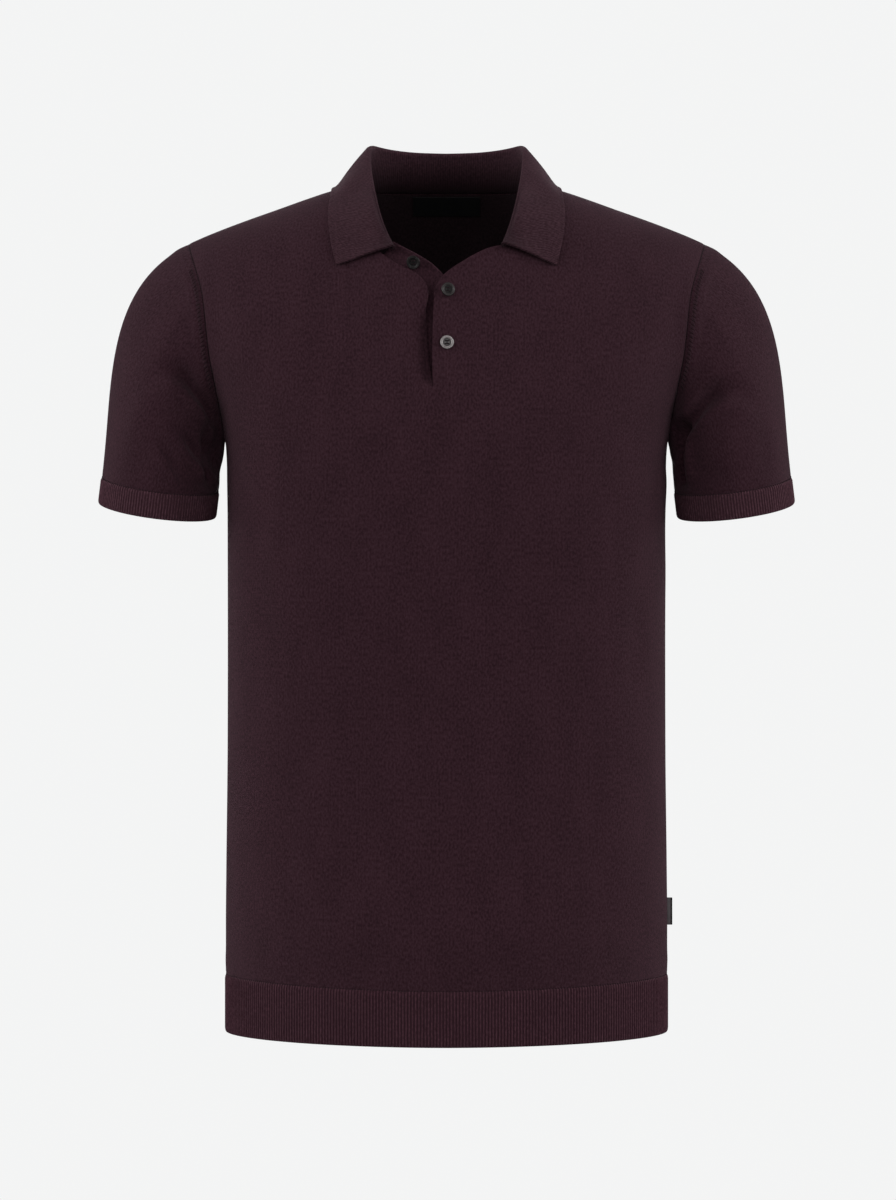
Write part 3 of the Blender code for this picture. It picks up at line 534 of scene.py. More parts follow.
def add_piece(name, bm, finish, slot, *nodes, sharp=50, reverse=None):
    """Makes an object of a bmesh, which rides on the garment and stands for its solids."""
    mesh = bpy.data.meshes.new(name)
    bm.to_mesh(mesh)
    bm.free()
    mesh.materials.append(finish)
    mesh.materials.append(reverse or finish)
    mesh.shade_smooth()
    mesh.set_sharp_from_angle(angle=math.radians(sharp))
    made = bpy.data.objects.new(name, mesh)
    bpy.context.scene.collection.objects.link(made)
    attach(made, "root")
    if nodes:
        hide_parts(*nodes)
    return made


# ---------------------------------------------------------------- body panels

SIDE_GROOVE = 0.00035  # how far the cloth sinks at a side seam
LINK_GROOVE = 0.00035  # and at an armhole, a shoulder or the hem band
GROOVE_REACH = 0.0022
SIDE_BLEND = (0.030, 0.055)  # how near the side seam the knit's coordinates are counted from it
ARMHOLE_EASE = 0.0046  # how far the cloth on both sides of an armhole bridges its hollow
EASE_REACH = {"panel": 0.018, "sleeve": 0.030}
ROLL_RISE = 0.0008  # the rolled edge round the opening
ROLL_WIDTH = 0.0022


def neck_roll(grid, hand, neck):
    """How far the edge of the opening and of the neck stands out, over half of the front."""
    from_opening = run_lengths(grid, 1)
    from_top = run_lengths(grid, 0)
    from_top = from_top[-1:] - from_top
    ends_free = ramp(-np.abs(grid[-1:, :, 0]), -0.056, -0.046)
    above_slit = ramp(grid[..., 2], SLIT_END, SLIT_END + 0.014)
    to_edge = np.minimum(from_opening + (1 - above_slit), from_top + (1 - ends_free))
    roll = ROLL_RISE * bump(to_edge, ROLL_WIDTH * 0.55, ROLL_WIDTH) - 0.00025 * bump(to_edge, 0.0046, 0.0018)
    lift = roll + above_slit * ramp(-grid[..., 2], 0.100, 0.118) * (
        0.0018 * bump(from_opening, 0, 0.016) if hand > 0 else -0.0062 * bump(from_opening, 0, 0.013)
    )
    return lift * (1 - ramp(-grid[..., 2], -SLIT_END - 0.004, -SLIT_END + 0.002))


def panel_surface(side, hand, column, neck, columns):
    """Half of a panel as it shows: its points, outward ways and knit coordinates."""
    edge = opening_edge(column) if column else plain_edge
    grid = panel_half(side, hand, edge, neck, panel_shares(columns))
    out = sheet_normals(grid) * hand * -side
    on_shoulder = np.abs(grid[-1, :, 0]) > NECK_BACK["x"][-1] - 0.0005
    for where in (np.s_[:, -1], (-1, on_shoulder)):
        flat = np.abs(out[where]) * (hand, 0, 1)
        out[where] = flat / np.linalg.norm(flat, axis=-1, keepdims=True)
    out[:-1, -1, 2] = 0
    from_side = run_lengths(grid, 1)
    from_side = from_side[:, -1:] - from_side
    knit = np.stack([round_trunk(grid, side, from_side), run_lengths(grid, 0)], axis=-1)
    from_hem, from_top = knit[..., 1], knit[-1:, :, 1] - knit[..., 1]
    side_depth = np.where(grid[..., 2] > ARMPIT, LINK_GROOVE, SIDE_GROOVE)
    lift = -side_depth * bump(from_side, 0, GROOVE_REACH)
    lift -= LINK_GROOVE * bump(from_hem, 0, GROOVE_REACH)
    lift += 0.0003 * bump(from_hem, 0.012, 0.010)
    lift -= LINK_GROOVE * bump(from_top, 0, GROOVE_REACH) * on_shoulder
    if side < 0:
        lift += neck_roll(grid, hand, neck)
    fade = ramp(from_side, 0, 0.012) * ramp(from_top, 0, 0.02) * ramp(from_hem, 0, 0.02)
    lift -= creased(grid[..., 0], grid[..., 2], BODY_CREASES[side]) * fade
    up_armhole = np.clip((grid[..., 2] - ARMPIT) / (SHOULDER_TIP_Z - ARMPIT), 0, 1)
    ease = ARMHOLE_EASE * np.sin(math.pi * up_armhole) * bump(from_side, 0, EASE_REACH["panel"])
    return grid + out * lift[..., None] + ease[..., None] * (0, side, 0), out, knit


def add_panel(name, side, halves, finish, reverse):
    bm = bmesh.new()
    for hand, column, neck in halves:
        lay_grid(bm, *panel_surface(side, hand, column, neck, PANEL_COLUMNS[name.split("_")[0]]))
    tree_source = bm.copy()
    give_wall(bm, JERSEY, 0.3)
    return add_piece(name + "_knit", bm, finish, "jersey", name, reverse=reverse), tree_source


# ---------------------------------------------------------------- ribbed bands


def rib_wave(points):
    """The rounded profile of one rib after another, 1 on the ribs and 0 between them."""
    phase = np.arange(points) / RIB_POINTS
    return (0.5 + 0.5 * np.cos(2 * math.pi * phase)) ** 0.8


def hem_half(name, side, finish):
    """One half of the hem band: ribs that start under the linked seam and end in a rounded edge."""
    rows, knit = [], []
    length = lengths(section(HEM, side, 0, float(trunk_edge(HEM))))[-1]
    ribs = round(2 * length / RIB_PITCH)
    for share in (0, 0.03, 0.08, 0.2, 0.35, 0.5, 0.65, 0.8, 0.92, 0.965, 1):
        z = HEM + (HEM_SEAM - HEM) * share
        half = section(z, side, 0, float(trunk_edge(z)))
        line = spaced(np.concatenate([half[:0:-1] * (-1, 1, 1), half]), ribs * RIB_POINTS)
        line[:, 2] = HEM + (hem_seam(line[:, 0]) - HEM) * share
        out = np.cross(np.gradient(line, axis=0, edge_order=2), (0, 0, -side)) * (1, 1, 0)
        out[[0, -1], 1] = 0
        out /= np.linalg.norm(out, axis=1, keepdims=True)
        soft = 0.25 + 0.75 * ramp(share, 0, 0.05) * ramp(-share, -1, -0.95)
        pinch = 0.0004 * (1 - ramp(-share, -1, -0.93)) + 0.0003 * (1 - ramp(share, 0, 0.04))
        rows.append((line + out * (rib_wave(len(line)) * RIB_RISE * soft - pinch)[:, None], out))
        knit.append(np.stack([np.arange(len(line)) * RIB_PITCH / RIB_POINTS, line[:, 2] - HEM], axis=-1))
    bm = bmesh.new()
    lay_grid(bm, np.array([row for row, _ in rows]), np.array([out for _, out in rows]), np.array(knit))
    give_wall(bm, RIB_WALL)
    return add_piece(name + "_knit", bm, finish, "rib", name)


def cuff_ring(turn, lift=0.0):
    """The cuff's outline: turn runs 0 to 1 from the outer side over the front."""
    angle = 2 * math.pi * turn
    x = CUFF_EDGE[0] + CUFF_HALF[0] * np.cos(angle)
    y = CUFF_EDGE[1] - CUFF_HALF[1] * np.sin(angle)
    z = CUFF_EDGE[2] + CUFF_SLOPE[0] * (x - CUFF_EDGE[0]) + CUFF_SLOPE[1] * (y - CUFF_EDGE[1])
    aim = np.array(SLEEVE_AIM) / np.linalg.norm(SLEEVE_AIM)
    return np.stack([x, y, z], axis=-1) - lift * aim


def cuff(name, hand, finish):
    turn = np.arange(CUFF_RIBS * RIB_POINTS + 1) / (CUFF_RIBS * RIB_POINTS)
    wave = rib_wave(len(turn))
    rows, knit, ways = [], [], []
    for share in (0, 0.05, 0.12, 0.3, 0.5, 0.7, 0.88, 0.95, 1):
        ring = cuff_ring(turn, CUFF_HEIGHT * share)
        out = ring - ring[:-1].mean(axis=0)
        out /= np.linalg.norm(out, axis=1, keepdims=True)
        soft = 0.25 + 0.75 * ramp(share, 0, 0.08) * ramp(-share, -1, -0.9)
        pinch = 0.0004 * (1 - ramp(-share, -1, -0.88)) + 0.0003 * (1 - ramp(share, 0, 0.07))
        rows.append((ring + out * (wave * RIB_RISE * soft - pinch)[:, None]) * (hand, 1, 1))
        ways.append(out * (hand, 1, 1))
        places = np.arange(len(ring)) * RIB_PITCH / RIB_POINTS
        knit.append(np.stack([places, places * 0 + CUFF_HEIGHT * share], axis=-1))
    bm = bmesh.new()
    lay_grid(bm, np.array(rows), np.array(ways), np.array(knit))
    give_wall(bm, RIB_WALL)
    return add_piece(name + "_knit", bm, finish, "rib", name)


# ---------------------------------------------------------------- sleeves


def armhole_loop():
    """The panels' own points round the wearer's left armhole: shoulder, front, armpit, back."""
    edges = []
    for side, column, neck in ((-1, "left", NECK_LEFT), (1, None, NECK_BACK)):
        edge = panel_half(side, 1, opening_edge(column) if column else plain_edge, neck, (0, 1))[:, -1]
        edges.append(edge[edge[:, 2] > ARMPIT - 0.0001])
    front, back = edges[0][::-1], edges[1]
    loop = np.vstack([front, back[1:]])
    loop[0] = loop[-1] = (front[0] + back[-1]) / 2
    even = spaced(loop, 132)
    return even, np.linspace(0, 1, len(even))


def sleeve_grid(hand, rows=78):
    """Points over a sleeve, from the armhole down to the cuff's seam, on the wearer's left."""
    start, turn = armhole_loop()
    end = cuff_ring(turn, CUFF_HEIGHT)
    leave = np.stack(
        [
            smooth(turn, SLEEVE_START["turn"], SLEEVE_START["out"]),
            -smooth(turn, SLEEVE_START["turn"], SLEEVE_START["forward"]),
            -smooth(turn, SLEEVE_START["turn"], SLEEVE_START["down"]),
        ],
        axis=1,
    )
    reach = np.linalg.norm(end - start, axis=1, keepdims=True)
    arrive = np.array(SLEEVE_AIM) * reach * 1.1
    t = np.linspace(0, 1, rows + 1)
    t = (0.6 * t + 0.4 * t * t * (3 - 2 * t))[:, None, None]
    near = (1 + 2 * t) * (1 - t) ** 2 * start + t * (1 - t) ** 2 * leave
    grid = near + t * t * (3 - 2 * t) * end + t * t * (t - 1) * arrive
    out = sheet_normals(grid, True)
    down = run_lengths(grid, 0)
    to_cuff = down[-1:] - down
    round_it = turn[None, :] * SLEEVE_ROUND + down * 0
    lift = -creased(round_it, down, SLEEVE_CREASES[hand]) * ramp(down, 0, 0.007) * ramp(to_cuff, 0, 0.018)
    lift -= LINK_GROOVE * bump(down, 0, GROOVE_REACH) + LINK_GROOVE * bump(to_cuff, 0, GROOVE_REACH)
    lift += 0.0006 * bump(down, 0.010, 0.009)
    ease = ARMHOLE_EASE * np.sin(2 * math.pi * turn) * bump(down, 0, EASE_REACH["sleeve"])
    knit = np.stack([round_it, down[-1].max() - to_cuff], axis=-1)
    return grid + out * lift[..., None] + ease[..., None] * (0, -1, 0), out, knit


def sleeve(name, hand, finish, reverse):
    grid, out, knit = sleeve_grid(hand)
    bm = bmesh.new()
    lay_grid(bm, grid * (hand, 1, 1), out * (hand, 1, 1), knit)
    give_wall(bm, JERSEY, 0.15)
    return add_piece(name + "_knit", bm, finish, "jersey", name, reverse=reverse)


# ---------------------------------------------------------------- collar


def collar_line(column, at):
    stations = np.arange(len(COLLAR["fold_x"]), dtype=float)
    return smooth(at, stations, COLLAR[column])


def on_trunk(x, z, side_share):
    """A point of the trunk's face, where side_share runs from -1, the front, to 1, the back."""
    front, back = trunk_y(x, z, -1), trunk_y(x, z, 1)
    return front + (back - front) * (side_share + 1) / 2


def lifted(tree, point, clear):
    """The point moved out of the trunk until it is clear of its outer face."""
    place, normal, _, _ = tree.find_nearest(Vector(point))
    height = (Vector(point) - place).dot(normal)
    return Vector(point) + normal * max(0.0, clear - height)


def cleared(tree, grid, clear):
    """The grid with each point moved out until it is clear of the trunk."""
    flat = [lifted(tree, point, gap) for point, gap in zip(grid.reshape(-1, 3), clear.ravel())]
    return np.array(flat).reshape(grid.shape)


def softened(shift, rounds):
    """Shifts of a grid's points, evened out with those beside them, from none above the first row."""
    for _ in range(rounds):
        wide = np.concatenate([shift[:1] * 0, shift, shift[-1:]])
        shift = (wide[:-2] + 2 * shift + wide[2:]) / 4
        wide = np.concatenate([shift[:, :1], shift, shift[:, -1:]], axis=1)
        shift = (wide[:, :-2] + 2 * shift + wide[:, 2:]) / 4
    return shift


def collar_half(hand, steps, stand_rows, fold_rows, fall_rows, trunk):
    """Points over half of the collar, in the middle of its wall: rows from the neck's seam up
    the stand, over the fold and down the fall, columns from the back's centre to a front end."""
    at = np.linspace(0, len(COLLAR["fold_x"]) - 1, steps + 1)
    side = collar_line("side", at)
    to_end = np.clip((at - 6) / 3, 0, 1) ** 2
    shift_x, shift_z = (to_end * value for value in COLLAR_END_SHIFT[hand])
    neck_x, neck_z = collar_line("neck_x", at), collar_line("neck_z", at)
    way = np.gradient(np.stack([neck_x, neck_z], axis=1), axis=0)
    way /= np.linalg.norm(way, axis=1, keepdims=True)
    front_share = (1 - side) / 2
    off_x, off_z = front_share * way[:, 1], (1 - front_share) - front_share * way[:, 0]
    scale = NECK_CLEAR / np.hypot(off_x, off_z)
    neck_x, neck_z = neck_x + off_x * scale, neck_z + off_z * scale
    free_x, free_z = collar_line("free_x", at), collar_line("free_z", at)
    neck = np.stack([neck_x, on_trunk(neck_x, neck_z, side), neck_z], axis=1)
    free = np.stack([free_x, on_trunk(free_x, free_z, side), free_z], axis=1)
    fold_x, fold_z = collar_line("fold_x", at) + shift_x, collar_line("fold_z", at) + shift_z
    fold = np.stack([fold_x, collar_line("fold_y", at), fold_z], axis=1)
    up = fold - (neck + free) / 2
    up /= np.linalg.norm(up, axis=1, keepdims=True)
    out = np.cross(up, np.gradient(fold, axis=0))
    out /= np.linalg.norm(out, axis=1, keepdims=True)
    middle = fold - FOLD_RADIUS * up
    stand_top, fall_top = middle - FOLD_RADIUS * out, middle + FOLD_RADIUS * out
    rows = [neck + (stand_top - neck) * t for t in np.linspace(0, 1, stand_rows + 1)[:-1]]
    for angle in np.linspace(math.pi, 0, fold_rows + 1):
        rows.append(middle + FOLD_RADIUS * (math.cos(angle) * out + math.sin(angle) * up))
    rows[0] = rows[0] - np.outer(1 - front_share, (0, 0, 0.0016))
    share = np.linspace(0, 1, fall_rows + 1)[1:, None]
    t = share[..., None]
    fall = fall_top + (free - fall_top) * t + FALL_SWELL * 4 * t * (1 - t) * out
    edge_clear = 0.0006 + 0.0018 * ramp(at, 6.4, 8.4)
    clear = COLLAR_WALL / 2 + FALL_CLEAR + (edge_clear - FALL_CLEAR) * share**3
    shift = np.zeros_like(fall)
    for _ in range(3):
        shift = softened(cleared(trunk, fall + shift, clear) - fall, 5)
    fall = cleared(trunk, fall + shift, clear - 0.0009)
    return np.concatenate([np.array(rows), fall]) * (hand, 1, 1)


def trunk_tree(*panels):
    """The body's outer faces, for what lies on them."""
    bm = bmesh.new()
    for panel in panels:
        mesh = bpy.data.meshes.new("trunk")
        panel.to_mesh(mesh)
        bm.from_mesh(mesh)
        bpy.data.meshes.remove(mesh)
    keep = bm.verts.layers.float_vector["out"]
    for face in bm.faces:
        face.normal_update()
        if face.normal.dot(face.verts[0][keep]) < 0:
            face.normal_flip()
    tree = BVHTree.FromBMesh(bm)
    bm.free()
    return tree


def relaxed(grid, rounds, locked_rows):
    """The grid with its short kinks smoothed out along its rows, but for its ends."""
    grid = grid.copy()
    for _ in range(rounds):
        mean = (grid[locked_rows:, :-2] + grid[locked_rows:, 2:]) / 2
        grid[locked_rows:, 1:-1] += 0.5 * (mean - grid[locked_rows:, 1:-1])
    return grid


def collar(trunk, finish):
    bm = bmesh.new()
    halves = [collar_half(hand, 96, 12, 8, 30, trunk) for hand in (-1, 1)]
    whole = relaxed(np.concatenate([halves[0][:, :0:-1], halves[1]], axis=1), 6, 1)
    out = sheet_normals(whole)
    along, up = run_lengths(whole, 1), run_lengths(whole, 0)
    from_free = up[-1:] - up
    from_ends = np.minimum(along, along[:, -1:] - along)
    hem = np.minimum(from_free, from_ends)
    lift = COLLAR_WALL / 2 + 0.00025 * bump(hem, 0.0012, 0.0016) - 0.00015 * bump(hem, 0.0038, 0.0014)
    ripple = np.sin(along * 610 + 1.3 * np.sin(along * 171)) + 0.7 * np.sin(along * 1130 + 2 * np.sin(along * 93))
    lift += 0.00016 * ripple * bump(hem, 0, 0.004)
    whole = whole + out * lift[..., None]
    whole[..., 2] += 0.00022 * ripple * bump(from_free, 0, 0.004)
    knit = np.stack([along - along[:, along.shape[1] // 2][:, None], up], axis=-1)
    lay_grid(bm, whole, out, knit)
    give_wall(bm, COLLAR_WALL, 0.45)
    return add_piece("collar_knit", bm, finish, "collar", "collar")


# ---------------------------------------------------------------- placket, label, tab


def placket_underlap(finish):
    stations = np.arange(len(UNDERLAP["outer_x"]), dtype=float)
    at = np.linspace(0, stations[-1], 72)
    edges = {key: smooth(at, stations, UNDERLAP[key]) for key in UNDERLAP}
    share = np.linspace(0, 1, 22)
    x = edges["inner_x"][:, None] + (edges["outer_x"] - edges["inner_x"])[:, None] * share
    z = edges["inner_z"][:, None] + (edges["outer_z"] - edges["inner_z"])[:, None] * share
    grid = np.stack([x, trunk_y(x, z, -1), z], axis=-1)
    out = sheet_normals(grid)
    to_outer = run_lengths(grid, 1)
    to_outer = to_outer[:, -1:] - to_outer
    on_neck = ramp(z, -0.082, -0.074)
    lift = -UNDERLAP_DEPTH - UNDERLAP_SINK - 0.0034 * ramp(-z, 0.088, 0.104) + on_neck * 0.0034 * bump(to_outer, 0.0010, 0.0036)
    knit = np.stack([x, run_lengths(grid, 0)], axis=-1)
    bm = bmesh.new()
    lay_grid(bm, grid + out * lift[..., None], out, knit)
    give_wall(bm, UNDERLAP_WALL, 0.45)
    return add_piece("placket_underlap_knit", bm, finish, "jersey", "placket_underlap")


def node_tree(name):
    """A CAD node's own faces, to lay a piece on."""
    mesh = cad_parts[name].data
    return BVHTree.FromPolygons([v.co for v in mesh.vertices], [p.vertices for p in mesh.polygons])


def neck_label(finish, thread):
    """A bare satin label on the inside of the back, held by a few stitches at each end."""
    inside = node_tree("back_panel")
    z = LABEL_TOP - LABEL_SIZE[1] * np.linspace(1, 0, 13)[:, None] + np.zeros((1, 41))
    x = LABEL_SIZE[0] * np.linspace(-0.5, 0.5, 41)[None, :] + np.zeros((13, 1))
    grid = np.stack([x, x * 0, z], axis=-1)
    for point in grid.reshape(-1, 3):
        point[1] = inside.ray_cast((point[0], 0, point[2]), (0, 1, 0))[0].y - 3 * SEAM
    out = -sheet_normals(grid)
    sag = 0.0004 * bump(x, 0, 0.02) + 0.0003 * bump(z, LABEL_TOP - LABEL_SIZE[1], 0.004)
    bm = bmesh.new()
    lay_grid(bm, grid + out * sag[..., None], out, np.stack([x, z], axis=-1))
    give_wall(bm, LABEL_WALL, 0.35)
    label = add_piece("neck_label_satin", bm, finish, "label", "neck_label")
    spots = []
    for end in (2, -3):
        for row in range(1, 12, 2):
            spots.append((grid[row, end] + out[row, end] * 0.0003, (0, 0, 1), out[row, end]))
    add_stitches("label_stitches", spots, (0.0016, 0.0004, 0.0003), thread, "label")
    return label


def side_tab(finish):
    """A small folded satin tab in the wearer's left side seam."""
    bm = bmesh.new()
    middle = TAB_TOP - TAB_SIZE[2] / 2
    inner = float(smooth(TAB_TOP - TAB_SIZE[2], TRUNK["z"], TRUNK["width"])) - SEAM
    place = Matrix.Translation((inner + TAB_SIZE[0] / 2, 0, middle)) @ Matrix.Diagonal((*TAB_SIZE, 1))
    bmesh.ops.create_cube(bm, size=1, matrix=place)
    bmesh.ops.subdivide_edges(
        bm, edges=[e for e in bm.edges if abs(e.verts[0].co.z - e.verts[1].co.z) > 0.01], cuts=16, use_grid_fill=True
    )
    bmesh.ops.subdivide_edges(
        bm, edges=[e for e in bm.edges if abs(e.verts[0].co.x - e.verts[1].co.x) > 0.003], cuts=6, use_grid_fill=True
    )
    layer = bm.loops.layers.uv.new("knit")
    for face in bm.faces:
        for loop in face.loops:
            loop[layer].uv = (loop.vert.co.x - inner, loop.vert.co.z - middle)
    for vert in bm.verts:
        reach = (vert.co.x - inner) / TAB_SIZE[0]
        vert.co.y *= 0.55 + 0.45 * math.sin(math.pi * min(1.0, reach * 0.55 + 0.3))
        vert.co.y += 0.00025 * math.sin((vert.co.z - middle) * 260) * reach
    rim = [e for e in bm.edges if len(e.link_faces) == 2 and e.calc_face_angle() > math.radians(58)]
    bmesh.ops.bevel(bm, geom=rim, offset=0.00035, segments=3, profile=0.5, affect="EDGES", material=-1)
    return add_piece("side_tab_satin", bm, finish, "tab", "side_tab")


# ---------------------------------------------------------------- stitches


def add_stitches(name, spots, size, finish, slot):
    """One small rounded loop of yarn at each spot: its place, the way it runs and the way out."""
    joined = bpy.data.meshes.new(name)
    whole = bmesh.new()
    for start in range(0, len(spots), 150):
        bm = bmesh.new()
        for place, way, out in spots[start : start + 150]:
            way, out = Vector(way).normalized(), Vector(out).normalized()
            aside = out.cross(way).normalized()
            turn = Matrix((way, aside, aside.cross(way) * -1)).transposed().to_4x4()
            stretch = Matrix.Diagonal((*(value / 2 for value in size), 1))
            if turn.determinant() < 0:
                turn = Matrix((way, aside, aside.cross(way))).transposed().to_4x4()
            bmesh.ops.create_uvsphere(
                bm, u_segments=6, v_segments=5, radius=1, matrix=Matrix.Translation(Vector(place)) @ turn @ stretch
            )
        part = bpy.data.meshes.new("part")
        bm.to_mesh(part)
        bm.free()
        whole.from_mesh(part)
        bpy.data.meshes.remove(part)
    bpy.data.meshes.remove(joined)
    bmesh.ops.recalc_face_normals(whole, faces=whole.faces[:])
    return add_piece(name, whole, finish, slot, sharp=180)


def leaned(way, out, degrees):
    """A direction on the cloth, turned about the way out."""
    return Matrix.Rotation(math.radians(degrees), 3, Vector(out)) @ Vector(way)


def spots_along(line, outs, pitch, lift, lean=0.0, upright=False, first=0.5):
    """Places for stitches along a line, one every pitch, turned by lean from the way it runs."""
    along = lengths(line)
    count = int(along[-1] / pitch)
    spots = []
    for k in range(count):
        at = (k + first) * along[-1] / count
        place = np.array([np.interp(at, along, line[:, c]) for c in range(3)])
        ahead = np.array([np.interp(min(at + 0.001, along[-1]), along, line[:, c]) for c in range(3)])
        behind = np.array([np.interp(max(at - 0.001, 0), along, line[:, c]) for c in range(3)])
        out = np.array([np.interp(at, along, outs[:, c]) for c in range(3)])
        out /= np.linalg.norm(out)
        way = Vector(ahead - behind)
        if upright:
            way = way.cross(Vector(out))
        spots.append((place + out * lift, leaned(way, out, lean), out))
    return spots


def hem_links(yarn):
    """The linking between the panels and the hem band: one loop on each rib."""
    spots = []
    for side in (-1, 1):
        half = section(HEM_SEAM, side, 0, float(trunk_edge(HEM_SEAM)))
        line = np.concatenate([half[:0:-1] * (-1, 1, 1), half])
        line[:, 2] = hem_seam(line[:, 0]) + 0.0004
        out = np.cross(np.gradient(line, axis=0), (0, 0, -side))
        spots += spots_along(line, out, RIB_PITCH, -0.00045, 0, True)
    # the yarn given here is the shaded copy: painted shade along the hem seam
    add_stitches("hem_linking", spots, (0.0017, 0.0009, 0.0008), yarn, "rib")


def sleeve_details(hand, yarn, shaded):
    """Armhole linking, cuff linking and the fashioning marks on one sleeve."""
    side_name = "left" if hand > 0 else "right"
    grid = sleeve_grid(hand)[0]
    grid, out = grid * (hand, 1, 1), sheet_normals(grid, True) * (hand, 1, 1)
    # armhole and cuff linking in the shaded yarn: painted shade along the seams
    spots = spots_along(grid[0], out[0], 0.0022, -0.0002)
    add_stitches(f"armhole_linking_{side_name}", spots, (0.0024, 0.0010, 0.0008), shaded, "jersey")
    spots = spots_along(grid[-1], out[-1], SLEEVE_ROUND * 0.9 / CUFF_RIBS, 0.0002, 0, True)
    add_stitches(f"cuff_linking_{side_name}", spots, (0.0016, 0.0009, 0.0007), shaded, "rib")
    seam = spaced(grid[0], 1200)
    off_seam = np.linalg.norm(grid[:26, :, None] - seam, axis=-1).min(axis=2)
    # thin strokes in the shaded yarn paint the shade in the marks' holes, beside raised strokes of plain yarn
    strokes = {"raised": [], "shade_painted_strokes": []}
    for start, end in ((13, 47), (85, 119)):
        line = [[np.interp(0.0042, off_seam[:, j], grid[:26, j, c]) for c in range(3)] for j in range(start, end)]
        lean = 55 * hand if start < 60 else -55 * hand
        for kind, first in (("raised", 0.25), ("shade_painted_strokes", 0.75)):
            strokes[kind] += spots_along(np.array(line), out[5, start:end], 0.0034, 0.0002, lean, first=first)
    name = f"fashioning_sleeve_{side_name}"
    add_stitches(name, strokes["raised"], (0.0044, 0.0016, 0.0014), yarn, "jersey")
    add_stitches(name + "_sunken", strokes["shade_painted_strokes"], (0.0042, 0.0007, 0.0008), shaded, "jersey")


def body_details(yarn):
    """The fashioning marks of the panels, along the armholes, and the shoulder seams' linking."""
    marks = []
    for side, column, neck in ((-1, "left", NECK_LEFT), (1, None, NECK_BACK)):
        for hand in (1, -1):
            edge = opening_edge(column) if column else plain_edge
            grid = panel_half(side, 1, edge, neck, (0, 0.93, 0.965, 1)) * (hand, 1, 1)
            keep = (grid[:, -1, 2] > ARMPIT + 0.003) & (grid[:, -1, 2] < -0.15)
            rows = grid[keep]
            away = run_lengths(rows[:, ::-1], 1)
            line = np.array([[np.interp(0.009, a, row[::-1, c]) for c in range(3)] for a, row in zip(away, rows)])
            normal = np.array([np.cross(row[-1] - row[1], (0, 0, 1)) * -side * hand for row in rows])
            for place, way, out in spots_along(line, normal, 0.0040, 0.0):
                for lean in (-24, 24):
                    shift = Vector(way).normalized() * 0.00055 * (1 if lean > 0 else -1)
                    marks.append((Vector(place) + shift, leaned(way, out, lean + 90), out))
    add_stitches("fashioning_body", marks, (0.0026, 0.0011, 0.0013), yarn, "jersey")
    spots = []
    x = np.linspace(NECK_BACK["x"][-1] + 0.002, SHOULDER_TIP_X - 0.001, 60)
    z = smooth(x, *SHOULDER.values())
    for hand in (1, -1):
        line = np.stack([x * hand, smooth(z, TRUNK["z"], TRUNK["middle"]), z], axis=-1)
        slope = np.gradient(z, x)
        out = np.stack([-slope * hand, x * 0, x * 0 + 1], axis=-1)
        spots += spots_along(line, out, 0.0022, -0.0003)
    add_stitches("shoulder_linking", spots, (0.0020, 0.0006, 0.0006), yarn, "jersey")


# ---------------------------------------------------------------- buttons


def button_place(x, z, carrier, lean_side, lean_front):
    """The button's own axes and place, and the point of the cloth that its thread comes out of."""
    inset = UNDERLAP_DEPTH + UNDERLAP_SINK if carrier == "underlap" else 0.0
    step = 0.002
    here = np.array([x, float(trunk_y(x, z, -1)), z])
    along = np.array([x + step, float(trunk_y(x + step, z, -1)), z]) - here
    rise = np.array([x, float(trunk_y(x, z + step, -1)), z + step]) - here
    out = Vector(np.cross(along, rise)).normalized()
    right = Vector(along).normalized()
    turn = Matrix((right, out.cross(right), out)).transposed().to_4x4()
    tilt = Matrix.Rotation(math.radians(lean_side), 4, "Y") @ Matrix.Rotation(math.radians(lean_front), 4, "X")
    spread = BUTTON_RADIUS * (abs(math.sin(math.radians(lean_side))) + abs(math.sin(math.radians(lean_front))))
    place = Vector(here) + out * (BUTTON_LIFT + spread - inset)
    return Matrix.Translation(place) @ turn @ tilt, Vector(here) - out * inset


